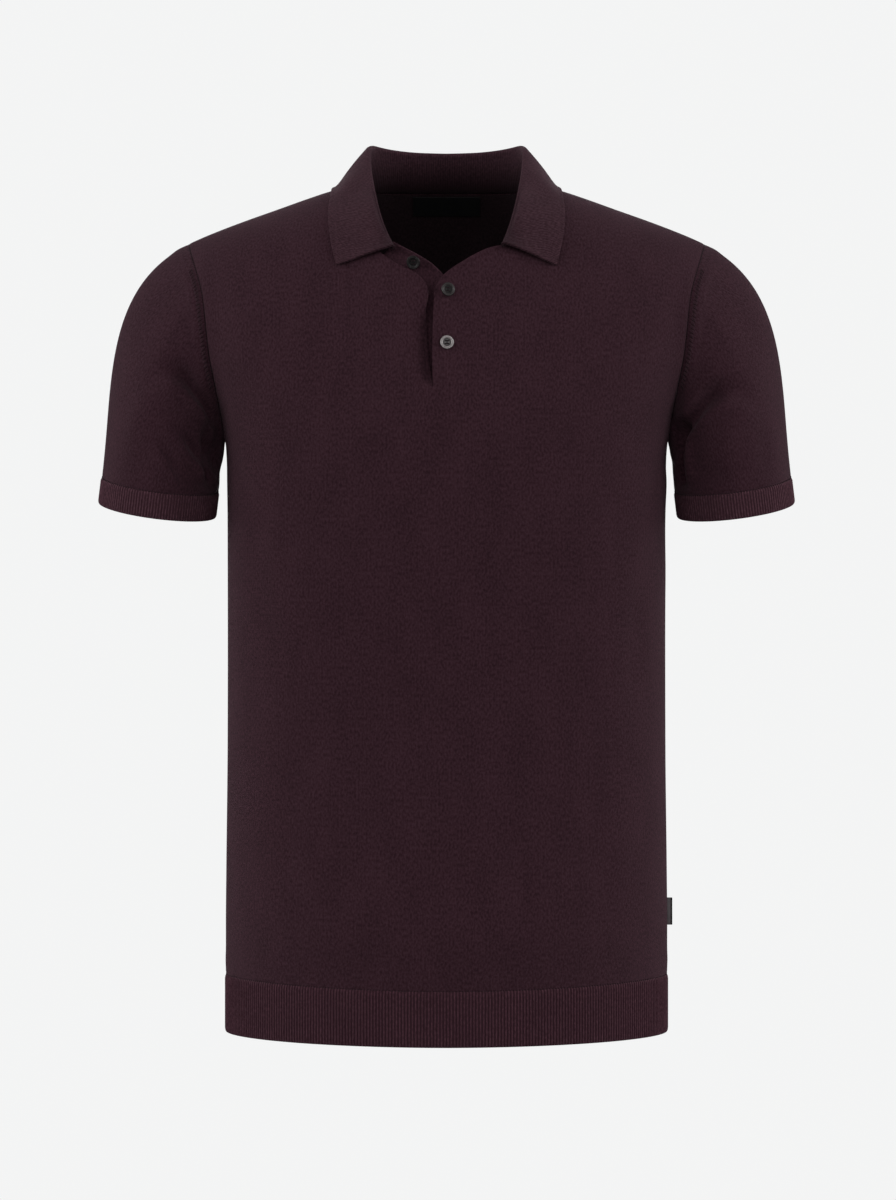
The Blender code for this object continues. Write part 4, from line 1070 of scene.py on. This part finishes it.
def button(name, place, root, finish, thread):
    inner = BUTTON_RADIUS - BUTTON_RIM
    top = BUTTON_THICK
    profile = [(0, 0.0001), (0.55 * BUTTON_RADIUS, 0), (0.8 * BUTTON_RADIUS, 0.16 * top)]
    profile += [(BUTTON_RADIUS - 0.0002, 0.5 * top), (BUTTON_RADIUS, 0.68 * top), (BUTTON_RADIUS - 0.00012, 0.86 * top)]
    profile += [(BUTTON_RADIUS - 0.00036, 0.97 * top), (BUTTON_RADIUS - 0.0006, top), (BUTTON_RADIUS - 0.0007, top)]
    profile += [(BUTTON_RADIUS - 0.00108, top), (BUTTON_RADIUS - 0.0012, top - 0.00008), (BUTTON_RADIUS - 0.00132, top)]
    profile += [(inner + 0.0002, top), (inner + 0.0001, 0.99 * top)]
    profile += [(inner - 0.0001, top - 0.2 * BUTTON_DISH), (inner - 0.0004, top - 0.8 * BUTTON_DISH)]
    profile += [(inner - 0.0008, top - BUTTON_DISH), (0.5 * inner, top - 1.08 * BUTTON_DISH), (0, top - 1.1 * BUTTON_DISH)]
    bm = bmesh.new()
    verts = [bm.verts.new((radius, 0, height)) for radius, height in profile]
    for pair in zip(verts, verts[1:]):
        bm.edges.new(pair)
    bmesh.ops.spin(
        bm, geom=bm.verts[:] + bm.edges[:], axis=(0, 0, 1), cent=(0, 0, 0), angle=2 * math.pi, steps=40, use_merge=True
    )
    bmesh.ops.remove_doubles(bm, verts=bm.verts[:], dist=0.00001)
    bmesh.ops.recalc_face_normals(bm, faces=bm.faces[:])
    blank = bpy.data.meshes.new(name + "_blank")
    bm.to_mesh(blank)
    bm.free()
    turned = bpy.data.objects.new(name + "_blank", blank)
    bpy.context.scene.collection.objects.link(turned)
    drill = bmesh.new()
    holes = [math.radians(45 + 90 * k) for k in range(4)]
    reach = BUTTON_HOLE_OFFSET * math.sqrt(2)
    for angle in holes:
        spot = Matrix.Translation((math.cos(angle) * reach, math.sin(angle) * reach, 0))
        bmesh.ops.create_cone(
            drill, cap_ends=True, segments=12, radius1=BUTTON_HOLE, radius2=BUTTON_HOLE, depth=0.01, matrix=spot
        )
    drill_mesh = bpy.data.meshes.new(name + "_drill")
    drill.to_mesh(drill_mesh)
    drill.free()
    drills = bpy.data.objects.new(name + "_drill", drill_mesh)
    bpy.context.scene.collection.objects.link(drills)
    cut = turned.modifiers.new("holes", "BOOLEAN")
    cut.object = drills
    cut.solver = "EXACT"
    done = bpy.data.meshes.new_from_object(turned.evaluated_get(bpy.context.evaluated_depsgraph_get()))
    bm = bmesh.new()
    bm.from_mesh(done)
    layer = bm.loops.layers.uv.new("knit")
    for face in bm.faces:
        for loop in face.loops:
            flat = loop.vert.co.xy
            loop[layer].uv = (flat.length / BUTTON_RADIUS, loop.vert.co.z / BUTTON_THICK)
    bm.transform(place)
    for old in (turned, drills):
        bpy.data.objects.remove(old)
    for old in (blank, drill_mesh, done):
        bpy.data.meshes.remove(old)
    made = add_piece(name + "_pearl", bm, finish, "button", name, sharp=40)
    sewn = []
    for first, second in ((0, 1), (2, 3)):
        ends = [Vector((math.cos(holes[k]), math.sin(holes[k]), 0)) * reach for k in (first, second)]
        for aside in (-0.00022, 0.00022):
            middle = (ends[0] + ends[1]) / 2
            middle += middle.normalized() * aside + Vector((0, 0, top - BUTTON_DISH + 0.00012))
            turn = place.to_3x3()
            sewn.append((place @ middle, turn @ (ends[1] - ends[0]), turn @ Vector((0, 0, 1))))
    shank = place @ Vector((0, 0, -0.0003))
    sewn.append((shank, place.to_3x3() @ Vector((1, 0, 0)), place.to_3x3() @ Vector((0, 0, 1))))
    add_stitches(name + "_thread", sewn, (0.0031, 0.00045, 0.00045), thread, "button")
    stem = shank - root
    across = place.to_3x3() @ Vector((1, 0, 0))
    add_stitches(name + "_shank", [(root + stem / 2, stem, across)], (stem.length + 0.0014, 0.0018, 0.0018), thread, "button")
    return made


# ---------------------------------------------------------------- materials


class Wiring:
    """Short calls for the nodes of one tree."""

    def __init__(self, tree):
        self.tree = tree

    def node(self, kind, settings=(), **inputs):
        made = self.tree.nodes.new(kind)
        for key, value in dict(settings).items():
            setattr(made, key, value)
        for key, value in inputs.items():
            self.feed(made.inputs[key.replace("_", " ")], value)
        return made

    def feed(self, socket, value):
        if isinstance(value, bpy.types.NodeSocket):
            self.tree.links.new(value, socket)
        else:
            socket.default_value = value

    def math(self, operation, first, second=0.0, third=0.0):
        made = self.node("ShaderNodeMath", {"operation": operation})
        for socket, value in zip(made.inputs, (first, second, third)):
            self.feed(socket, value)
        return made.outputs[0]

    def mix(self, share, first, second):
        made = self.node("ShaderNodeMix", {"data_type": "RGBA"})
        self.feed(made.inputs["Factor"], share)
        self.feed(made.inputs[6], first)
        self.feed(made.inputs[7], second)
        return made.outputs[2]


def group(name, inputs, outputs):
    """A new shader node group with named inputs and outputs."""
    tree = bpy.data.node_groups.new(name, "ShaderNodeTree")
    for label, kind, value in inputs:
        socket = tree.interface.new_socket(label, in_out="INPUT", socket_type=kind)
        if kind == "NodeSocketFloat":
            socket.default_value = value
    for label, kind in outputs:
        tree.interface.new_socket(label, in_out="OUTPUT", socket_type=kind)
    return tree, tree.nodes.new("NodeGroupInput").outputs, tree.nodes.new("NodeGroupOutput").inputs


def loops_group():
    """Jersey loops: columns of small V shapes, from knit coordinates in metres."""
    tree, given, made = group(
        "knit_loops",
        [("Place", "NodeSocketVector", None), ("Wale", "NodeSocketFloat", WALE), ("Course", "NodeSocketFloat", COURSE)],
        [("Height", "NodeSocketFloat"), ("Furrow", "NodeSocketFloat")],
    )
    w = Wiring(tree)
    parts = w.node("ShaderNodeSeparateXYZ", Vector=given["Place"]).outputs
    across = w.math("FRACT", w.math("DIVIDE", parts["X"], given["Wale"]))
    from_middle = w.math("ABSOLUTE", w.math("SUBTRACT", across, 0.5))
    slant = w.math("MULTIPLY", from_middle, 1.1)
    up = w.math("SUBTRACT", w.math("DIVIDE", parts["Y"], given["Course"]), slant)
    wave = w.math("COSINE", w.math("MULTIPLY", up, 2 * math.pi))
    rounded = w.math("MULTIPLY_ADD", wave, 0.5, 0.5)
    legs = w.math("SINE", w.math("MULTIPLY", from_middle, 2 * math.pi))
    leg = w.math("POWER", w.math("MAXIMUM", legs, 0.0), 0.6)
    height = w.math("MULTIPLY", leg, w.math("MULTIPLY_ADD", rounded, 0.25, 0.75))
    w.feed(made["Height"], height)
    w.feed(made["Furrow"], w.math("SUBTRACT", 1.0, leg))
    return tree


def melange_group():
    """Uneven yarn: flecks along the courses, slow drifts of shade, and single bright fibres."""
    tree, given, made = group(
        "melange_yarn",
        [("Place", "NodeSocketVector", None)],
        [("Fleck", "NodeSocketFloat"), ("Drift", "NodeSocketFloat"), ("Fibre", "NodeSocketFloat")],
    )
    w = Wiring(tree)

    def noise(stretch, scale, detail):
        moved = w.node("ShaderNodeVectorMath", {"operation": "MULTIPLY"})
        w.feed(moved.inputs[0], given["Place"])
        moved.inputs[1].default_value = stretch
        made_noise = w.node("ShaderNodeTexNoise", Vector=moved.outputs[0], Scale=scale, Detail=detail)
        return made_noise.outputs["Fac"]

    w.feed(made["Fleck"], noise((1.0, 0.6, 1.0), 620.0, 3.0))
    w.feed(made["Drift"], noise((1.0, 0.45, 1.0), 42.0, 3.0))
    fine = noise((1.0, 0.5, 1.0), 1500.0, 2.0)
    w.feed(made["Fibre"], w.math("MULTIPLY", w.math("MAXIMUM", w.math("SUBTRACT", fine, 0.60), 0.0), 6.0))
    return tree


def rib_group():
    """Fine ribs across the first knit coordinate, each with small stacked loops."""
    tree, given, made = group(
        "fine_ribs",
        [("Place", "NodeSocketVector", None), ("Rib", "NodeSocketFloat", RIB_PITCH), ("Course", "NodeSocketFloat", COURSE)],
        [("Height", "NodeSocketFloat"), ("Furrow", "NodeSocketFloat")],
    )
    w = Wiring(tree)
    parts = w.node("ShaderNodeSeparateXYZ", Vector=given["Place"]).outputs
    turn = w.math("MULTIPLY", w.math("DIVIDE", parts["X"], given["Rib"]), 2 * math.pi)
    ribs = w.math("MULTIPLY_ADD", w.math("COSINE", turn), 0.5, 0.5)
    lean = w.math("MULTIPLY", w.math("ABSOLUTE", w.math("SINE", w.math("MULTIPLY", turn, 0.5))), 0.8)
    up = w.math("SUBTRACT", w.math("DIVIDE", parts["Y"], given["Course"]), lean)
    loops = w.math("MULTIPLY_ADD", w.math("COSINE", w.math("MULTIPLY", up, 2 * math.pi)), 0.5, 0.5)
    w.feed(made["Height"], w.math("MULTIPLY", ribs, w.math("MULTIPLY_ADD", loops, 0.2, 0.8)))
    w.feed(made["Furrow"], w.math("SUBTRACT", 1.0, ribs))
    return tree


class Finish:
    """One Principled material and its wiring."""

    def __init__(self, name, **sockets):
        self.material = bpy.data.materials.new(name)
        self.material.use_nodes = True
        self.wires = Wiring(self.material.node_tree)
        self.shader = self.material.node_tree.nodes["Principled BSDF"]
        for key, value in sockets.items():
            self.shader.inputs[key.replace("_", " ")].default_value = value

    def place(self):
        return self.wires.node("ShaderNodeUVMap", {"uv_map": "knit"}).outputs[0]

    def use(self, tree, **inputs):
        return self.wires.node("ShaderNodeGroup", {"node_tree": tree}, **inputs).outputs

    def raise_by(self, height, distance, strength):
        made = self.wires.node("ShaderNodeBump", Height=height, Distance=distance, Strength=strength)
        self.wires.feed(self.shader.inputs["Normal"], made.outputs[0])


def knit_finish(name, pattern, melange, base, wale, course, depth, furrow_shade, painted_shade_to=None):
    """Matte knitted wool: loops in relief, uneven yarn, a soft nap and painted shade in the furrows of
    the loops and ribs. Where the last argument is given, painted shade darkens the colour from the first row up to that
    many metres."""
    light = (*(value * 1.42 + 0.002 for value in base), 1)
    dark = (*(value * 0.68 for value in base), 1)
    finish = Finish(
        name, Roughness=0.9, Specular_IOR_Level=0.05, Sheen_Weight=0.10, Sheen_Roughness=0.5,
        Sheen_Tint=(0.72, 0.50, 0.58, 1),
    )
    w = finish.wires
    place = finish.place()
    names = {"Place": place, "Course": course}
    names["Wale" if pattern.name == "knit_loops" else "Rib"] = wale
    loops = finish.use(pattern, **names)
    yarn = finish.use(melange, Place=place)
    tone = w.math("MULTIPLY_ADD", yarn["Drift"], 0.18, w.math("MULTIPLY", yarn["Fleck"], 0.82))
    tone = w.math("SUBTRACT", w.math("MULTIPLY", tone, 3.4), 1.06)
    # painted shade: the furrows between loops and between ribs are darkened in the colour
    tone = w.math("SUBTRACT", tone, w.math("MULTIPLY", loops["Furrow"], furrow_shade))
    tone = w.math("ADD", tone, w.math("MULTIPLY", yarn["Fibre"], 0.5))
    tone = w.node("ShaderNodeClamp", Value=tone).outputs[0]
    colour = w.mix(tone, dark, light)
    # painted shade: the colour darkens from the first row, the collar's neck seam, up to the given height
    if painted_shade_to:
        up = w.node("ShaderNodeSeparateXYZ", Vector=place).outputs["Y"]
        neck_shade_painted = w.node("ShaderNodeMapRange", Value=up, From_Min=painted_shade_to, From_Max=0.0).outputs[0]
        colour = w.mix(neck_shade_painted, colour, (*(value * 0.12 for value in base), 1))
    w.feed(finish.shader.inputs["Base Color"], colour)
    relief = w.math("MULTIPLY_ADD", yarn["Fleck"], 0.45, loops["Height"])
    finish.raise_by(relief, depth, 0.75)
    return finish.material


def yarn_finish(name, base):
    """The yarn of seams and marks, mottled along Object coordinates."""
    finish = Finish(name, Roughness=0.85, Specular_IOR_Level=0.06, Sheen_Weight=0.1, Sheen_Roughness=0.5)
    w = finish.wires
    where = w.node("ShaderNodeTexCoord").outputs["Object"]
    noise = w.node("ShaderNodeTexNoise", Vector=where, Scale=2200.0, Detail=2.0).outputs["Fac"]
    dark, light = (*(value * 0.8 for value in base), 1), (*(value * 1.6 for value in base), 1)
    w.feed(finish.shader.inputs["Base Color"], w.mix(noise, dark, light))
    finish.raise_by(noise, 0.0002, 0.5)
    return finish.material


# radius share and shade of the button face's rings; the pale rings are partly painted reflection of the front light
PEARL_RINGS_AND_REFLECTION = ((0.16, 0.02), (0.22, 0.15), (0.33, 0.15), (0.38, 0.03), (0.55, 0.03), (0.62, 0.30), (0.74, 0.33), (0.77, 0.13), (0.80, 0.33), (0.92, 0.30))


def tinted_pearl(shade):
    """A grey of the pearl's warm cast."""
    return (shade + 0.004, shade * 0.89 + 0.004, shade * 0.90 + 0.004, 1)


def pearl_finish(name, painted_light_share):
    """Dark mother-of-pearl resin: a turned face of paler and smoky rings with drifting lustre, the palest rings partly
    painted reflection of the front light. The share given scales colour, coat and specular down as painted shade on a
    button that lies in shade.
    """
    finish = Finish(name, Specular_IOR_Level=0.15 + 0.45 * painted_light_share, Coat_Roughness=0.12)
    w = finish.wires
    radius = w.node("ShaderNodeSeparateXYZ", Vector=finish.place()).outputs["X"]
    where = w.node("ShaderNodeTexCoord").outputs["Object"]
    lustre = w.node("ShaderNodeTexNoise", Vector=where, Scale=420.0, Detail=4.0, Distortion=1.4).outputs["Fac"]
    ring = w.node("ShaderNodeValToRGB", Fac=radius)
    stops = ring.color_ramp.elements
    for stop, position, shade in zip(stops, (0.0, 1.0), (0.02, 0.10)):
        stop.position, stop.color = position, tinted_pearl(shade * painted_light_share)
    for position, shade in PEARL_RINGS_AND_REFLECTION:
        stops.new(position).color = tinted_pearl(shade * painted_light_share)
    smoky = w.mix(lustre, (0.35, 0.33, 0.36, 1), (1.0, 0.97, 0.92, 1))
    tinted = w.node("ShaderNodeMix", {"data_type": "RGBA", "blend_type": "MULTIPLY"})
    tinted.inputs["Factor"].default_value = 1.0
    w.feed(tinted.inputs[6], ring.outputs["Color"])
    w.feed(tinted.inputs[7], smoky)
    w.feed(finish.shader.inputs["Base Color"], tinted.outputs[2])
    on_rim = w.node("ShaderNodeMapRange", Value=radius, From_Min=0.60, From_Max=0.66).outputs[0]
    w.feed(finish.shader.inputs["Coat Weight"], w.math("MULTIPLY", on_rim, painted_light_share))
    rough = w.math("MULTIPLY_ADD", on_rim, -0.34, 0.52)
    w.feed(finish.shader.inputs["Roughness"], w.math("MULTIPLY_ADD", lustre, 0.1, rough))
    finish.raise_by(lustre, 0.0001, 0.12)
    return finish.material


def satin_finish(name, base, thread, gloss, border_from=None):
    """A woven satin ribbon: fine floats along its length and, past border_from, a black border."""
    finish = Finish(name, Roughness=gloss, Specular_IOR_Level=0.2)
    w = finish.wires
    parts = w.node("ShaderNodeSeparateXYZ", Vector=finish.place()).outputs
    floats = w.math("MULTIPLY_ADD", w.math("SINE", w.math("MULTIPLY", parts["Y"], 2 * math.pi / thread)), 0.5, 0.5)
    picks = w.math("MULTIPLY_ADD", w.math("SINE", w.math("MULTIPLY", parts["X"], 2 * math.pi / thread)), 0.5, 0.5)
    weave = w.math("MULTIPLY_ADD", picks, 0.35, w.math("MULTIPLY", floats, 0.65))
    dark, light = (*(value * 0.7 for value in base), 1), (*(value * 1.5 for value in base), 1)
    colour = w.mix(weave, dark, light)
    if border_from:
        border = w.node("ShaderNodeMapRange", Value=parts["X"], From_Min=border_from, From_Max=border_from + 0.0003)
        colour = w.mix(border.outputs[0], colour, (0.006, 0.0055, 0.006, 1))
    w.feed(finish.shader.inputs["Base Color"], colour)
    finish.raise_by(weave, 0.0001, 0.4)
    return finish.material


# ---------------------------------------------------------------- studio


def studio():
    """A pale floor, an even bright surround that is strongest above and at the sides, a camera."""
    scene = bpy.context.scene
    scene.view_settings.view_transform = "Standard"
    world = bpy.data.worlds.new("pale_studio")
    scene.world = world
    world.use_nodes = True
    w = Wiring(world.node_tree)
    seen = world.node_tree.nodes["Background"]
    seen.inputs["Color"].default_value = (*SURROUND, 1)
    direction = w.node("ShaderNodeSeparateXYZ", Vector=w.node("ShaderNodeTexCoord").outputs["Generated"]).outputs
    sideways = w.math("MULTIPLY", direction["X"], direction["X"])
    height = w.node("ShaderNodeMapRange", Value=direction["Z"], From_Min=-1.0).outputs[0]
    from_above = w.node("ShaderNodeValToRGB", Fac=height)
    stops = from_above.color_ramp.elements
    stops[0].position, stops[0].color = 0.08, (0.01, 0.01, 0.01, 1)
    stops[1].position, stops[1].color = 1.0, (0.12, 0.12, 0.12, 1)
    for position, light in ((0.34, 0.28), (0.50, 0.66), (0.64, 1.0), (0.76, 0.85), (0.88, 0.25)):
        stop = stops.new(position)
        stop.color = (light, light, light, 1)
    strength = w.math("MULTIPLY", from_above.outputs["Color"], w.math("MULTIPLY_ADD", sideways, 2.3, 0.40))
    lit = w.node("ShaderNodeBackground", Color=(1.0, 0.995, 1.0, 1), Strength=strength)
    mixed = w.node("ShaderNodeMixShader")
    w.feed(mixed.inputs[0], w.node("ShaderNodeLightPath").outputs["Is Camera Ray"])
    w.feed(mixed.inputs[1], lit.outputs[0])
    w.feed(mixed.inputs[2], seen.outputs[0])
    w.feed(world.node_tree.nodes["World Output"].inputs["Surface"], mixed.outputs[0])

    floor_mesh = bpy.data.meshes.new("studio_floor")
    bm = bmesh.new()
    bmesh.ops.create_grid(bm, x_segments=1, y_segments=1, size=FLOOR_SIZE / 2, matrix=Matrix.Translation((0, 0, FLOOR_LEVEL)))
    bm.to_mesh(floor_mesh)
    bm.free()
    pale = Finish("pale_floor", Base_Color=(0.20, 0.20, 0.20, 1), Roughness=1.0, Specular_IOR_Level=0.0)
    lit_paper = pale.wires.node("ShaderNodeEmission", Color=(*SURROUND, 1))
    shown = pale.wires.node("ShaderNodeMixShader")
    pale.wires.feed(shown.inputs[0], pale.wires.node("ShaderNodeLightPath").outputs["Is Camera Ray"])
    pale.wires.feed(shown.inputs[1], pale.shader.outputs[0])
    pale.wires.feed(shown.inputs[2], lit_paper.outputs[0])
    pale.wires.feed(pale.material.node_tree.nodes["Material Output"].inputs["Surface"], shown.outputs[0])
    floor_mesh.materials.append(pale.material)
    floor = bpy.data.objects.new("studio_floor", floor_mesh)
    scene.collection.objects.link(floor)

    for name, place, size, power in (
        ("left_softbox", (-2.2, -0.9, 0.0), (0.8, 2.0), 7.0),
        ("right_softbox", (2.2, -0.9, 0.0), (0.8, 2.0), 7.0),
        ("front_softbox", (0.0, -3.0, 0.62), (1.0, 0.8), 12.0),
        ("back_softbox", (0.0, 3.4, 0.5), (2.4, 1.6), 60.0),
    ):
        light = bpy.data.lights.new(name, "AREA")
        light.shape = "RECTANGLE"
        light.size, light.size_y = size
        light.energy = power
        lamp = bpy.data.objects.new(name, light)
        lamp.location = place
        aim = Vector((0, 0, -0.3)) - Vector(place)
        lamp.rotation_euler = aim.to_track_quat("-Z", "Y").to_euler()
        scene.collection.objects.link(lamp)

    camera = bpy.data.cameras.new("photographer")
    camera.lens, camera.sensor_width = CAMERA_LENS, CAMERA_SENSOR
    camera.clip_start = 0.01
    stand = bpy.data.objects.new("photographer", camera)
    stand.location = CAMERA_PLACE
    stand.rotation_euler = (math.radians(90), 0, 0)
    scene.collection.objects.link(stand)
    scene.camera = stand


# ---------------------------------------------------------------- the garment, piece by piece


def main():
    loops, ribs, melange = loops_group(), rib_group(), melange_group()
    aubergine = (0.0365, 0.0146, 0.0210)
    jersey = knit_finish("jersey_knit", loops, melange, aubergine, WALE, COURSE, 0.00035, 0.60)
    # the inside faces: a darker copy of the jersey yarn, painted shade inside the hollow garment
    painted_shade_reverse = knit_finish("jersey_reverse_painted_shade", loops, melange, (0.0120, 0.0058, 0.0076), COURSE, WALE, 0.00035, 0.40)
    band = knit_finish("ribbed_knit", ribs, melange, (0.0530, 0.0215, 0.0300), RIB_PITCH, COURSE, 0.00020, 0.90)
    # the cuffs' rib is a lighter copy of the hem band's rib: painted light on the cuffs
    cuff_band_painted_light = knit_finish("cuff_knit_painted_light", ribs, melange, (0.0660, 0.0285, 0.0385), RIB_PITCH, COURSE, 0.00020, 0.90)
    # the collar's colour darkens towards its neck seam: painted shade
    fine = knit_finish("collar_knit", ribs, melange, (0.0430, 0.0188, 0.0258), COLLAR_WALE, 0.0012, 0.00026, 0.50, 0.030)
    yarn = yarn_finish("linking_yarn", (0.040, 0.0165, 0.0235))
    # a darker copy of the linking yarn: painted shade in the armhole, cuff and hem seams and in the fashioning marks'
    # holes; the button thread and shank are sewn in it too
    shaded = yarn_finish("yarn_painted_shade", (0.013, 0.0055, 0.0078))
    # each button's share darkens its copy of the pearl: painted shade on buttons 1 and 2, full colour on button 3
    painted_light_shares = {"button_1": 0.06, "button_2": 0.14, "button_3": 1.0}
    pearls = {name: pearl_finish(f"pearl_painted_light_{name[-1]}", share) for name, share in painted_light_shares.items()}
    satin = satin_finish("black_satin", (0.0045, 0.0045, 0.005), 0.0004, 0.42)
    grey_satin = satin_finish("grey_satin", (0.11, 0.10, 0.105), 0.0005, 0.5, 0.0030)

    studio()
    front, front_form = add_panel("front_panel", -1, ((1, "left", NECK_LEFT), (-1, "right", NECK_RIGHT)), jersey, painted_shade_reverse)
    back, back_form = add_panel("back_panel", 1, ((1, None, NECK_BACK), (-1, None, NECK_BACK)), jersey, painted_shade_reverse)
    trunk = trunk_tree(front_form, back_form)
    hem_front, hem_back = hem_half("hem_rib_front", -1, band), hem_half("hem_rib_back", 1, band)
    sleeves = {side: sleeve(f"sleeve_{side}", hand, jersey, painted_shade_reverse) for side, hand in (("left", 1), ("right", -1))}
    cuffs = {side: cuff(f"cuff_{side}", hand, cuff_band_painted_light) for side, hand in (("left", 1), ("right", -1))}
    folded = collar(trunk, fine)
    lap = placket_underlap(jersey)
    for name, place in BUTTONS.items():
        button(name, *button_place(*place), pearls[name], shaded)
    label = neck_label(satin, yarn)
    side_tab(grey_satin)
    hem_links(shaded)
    for hand in (1, -1):
        sleeve_details(hand, yarn, shaded)
    body_details(yarn)


main()
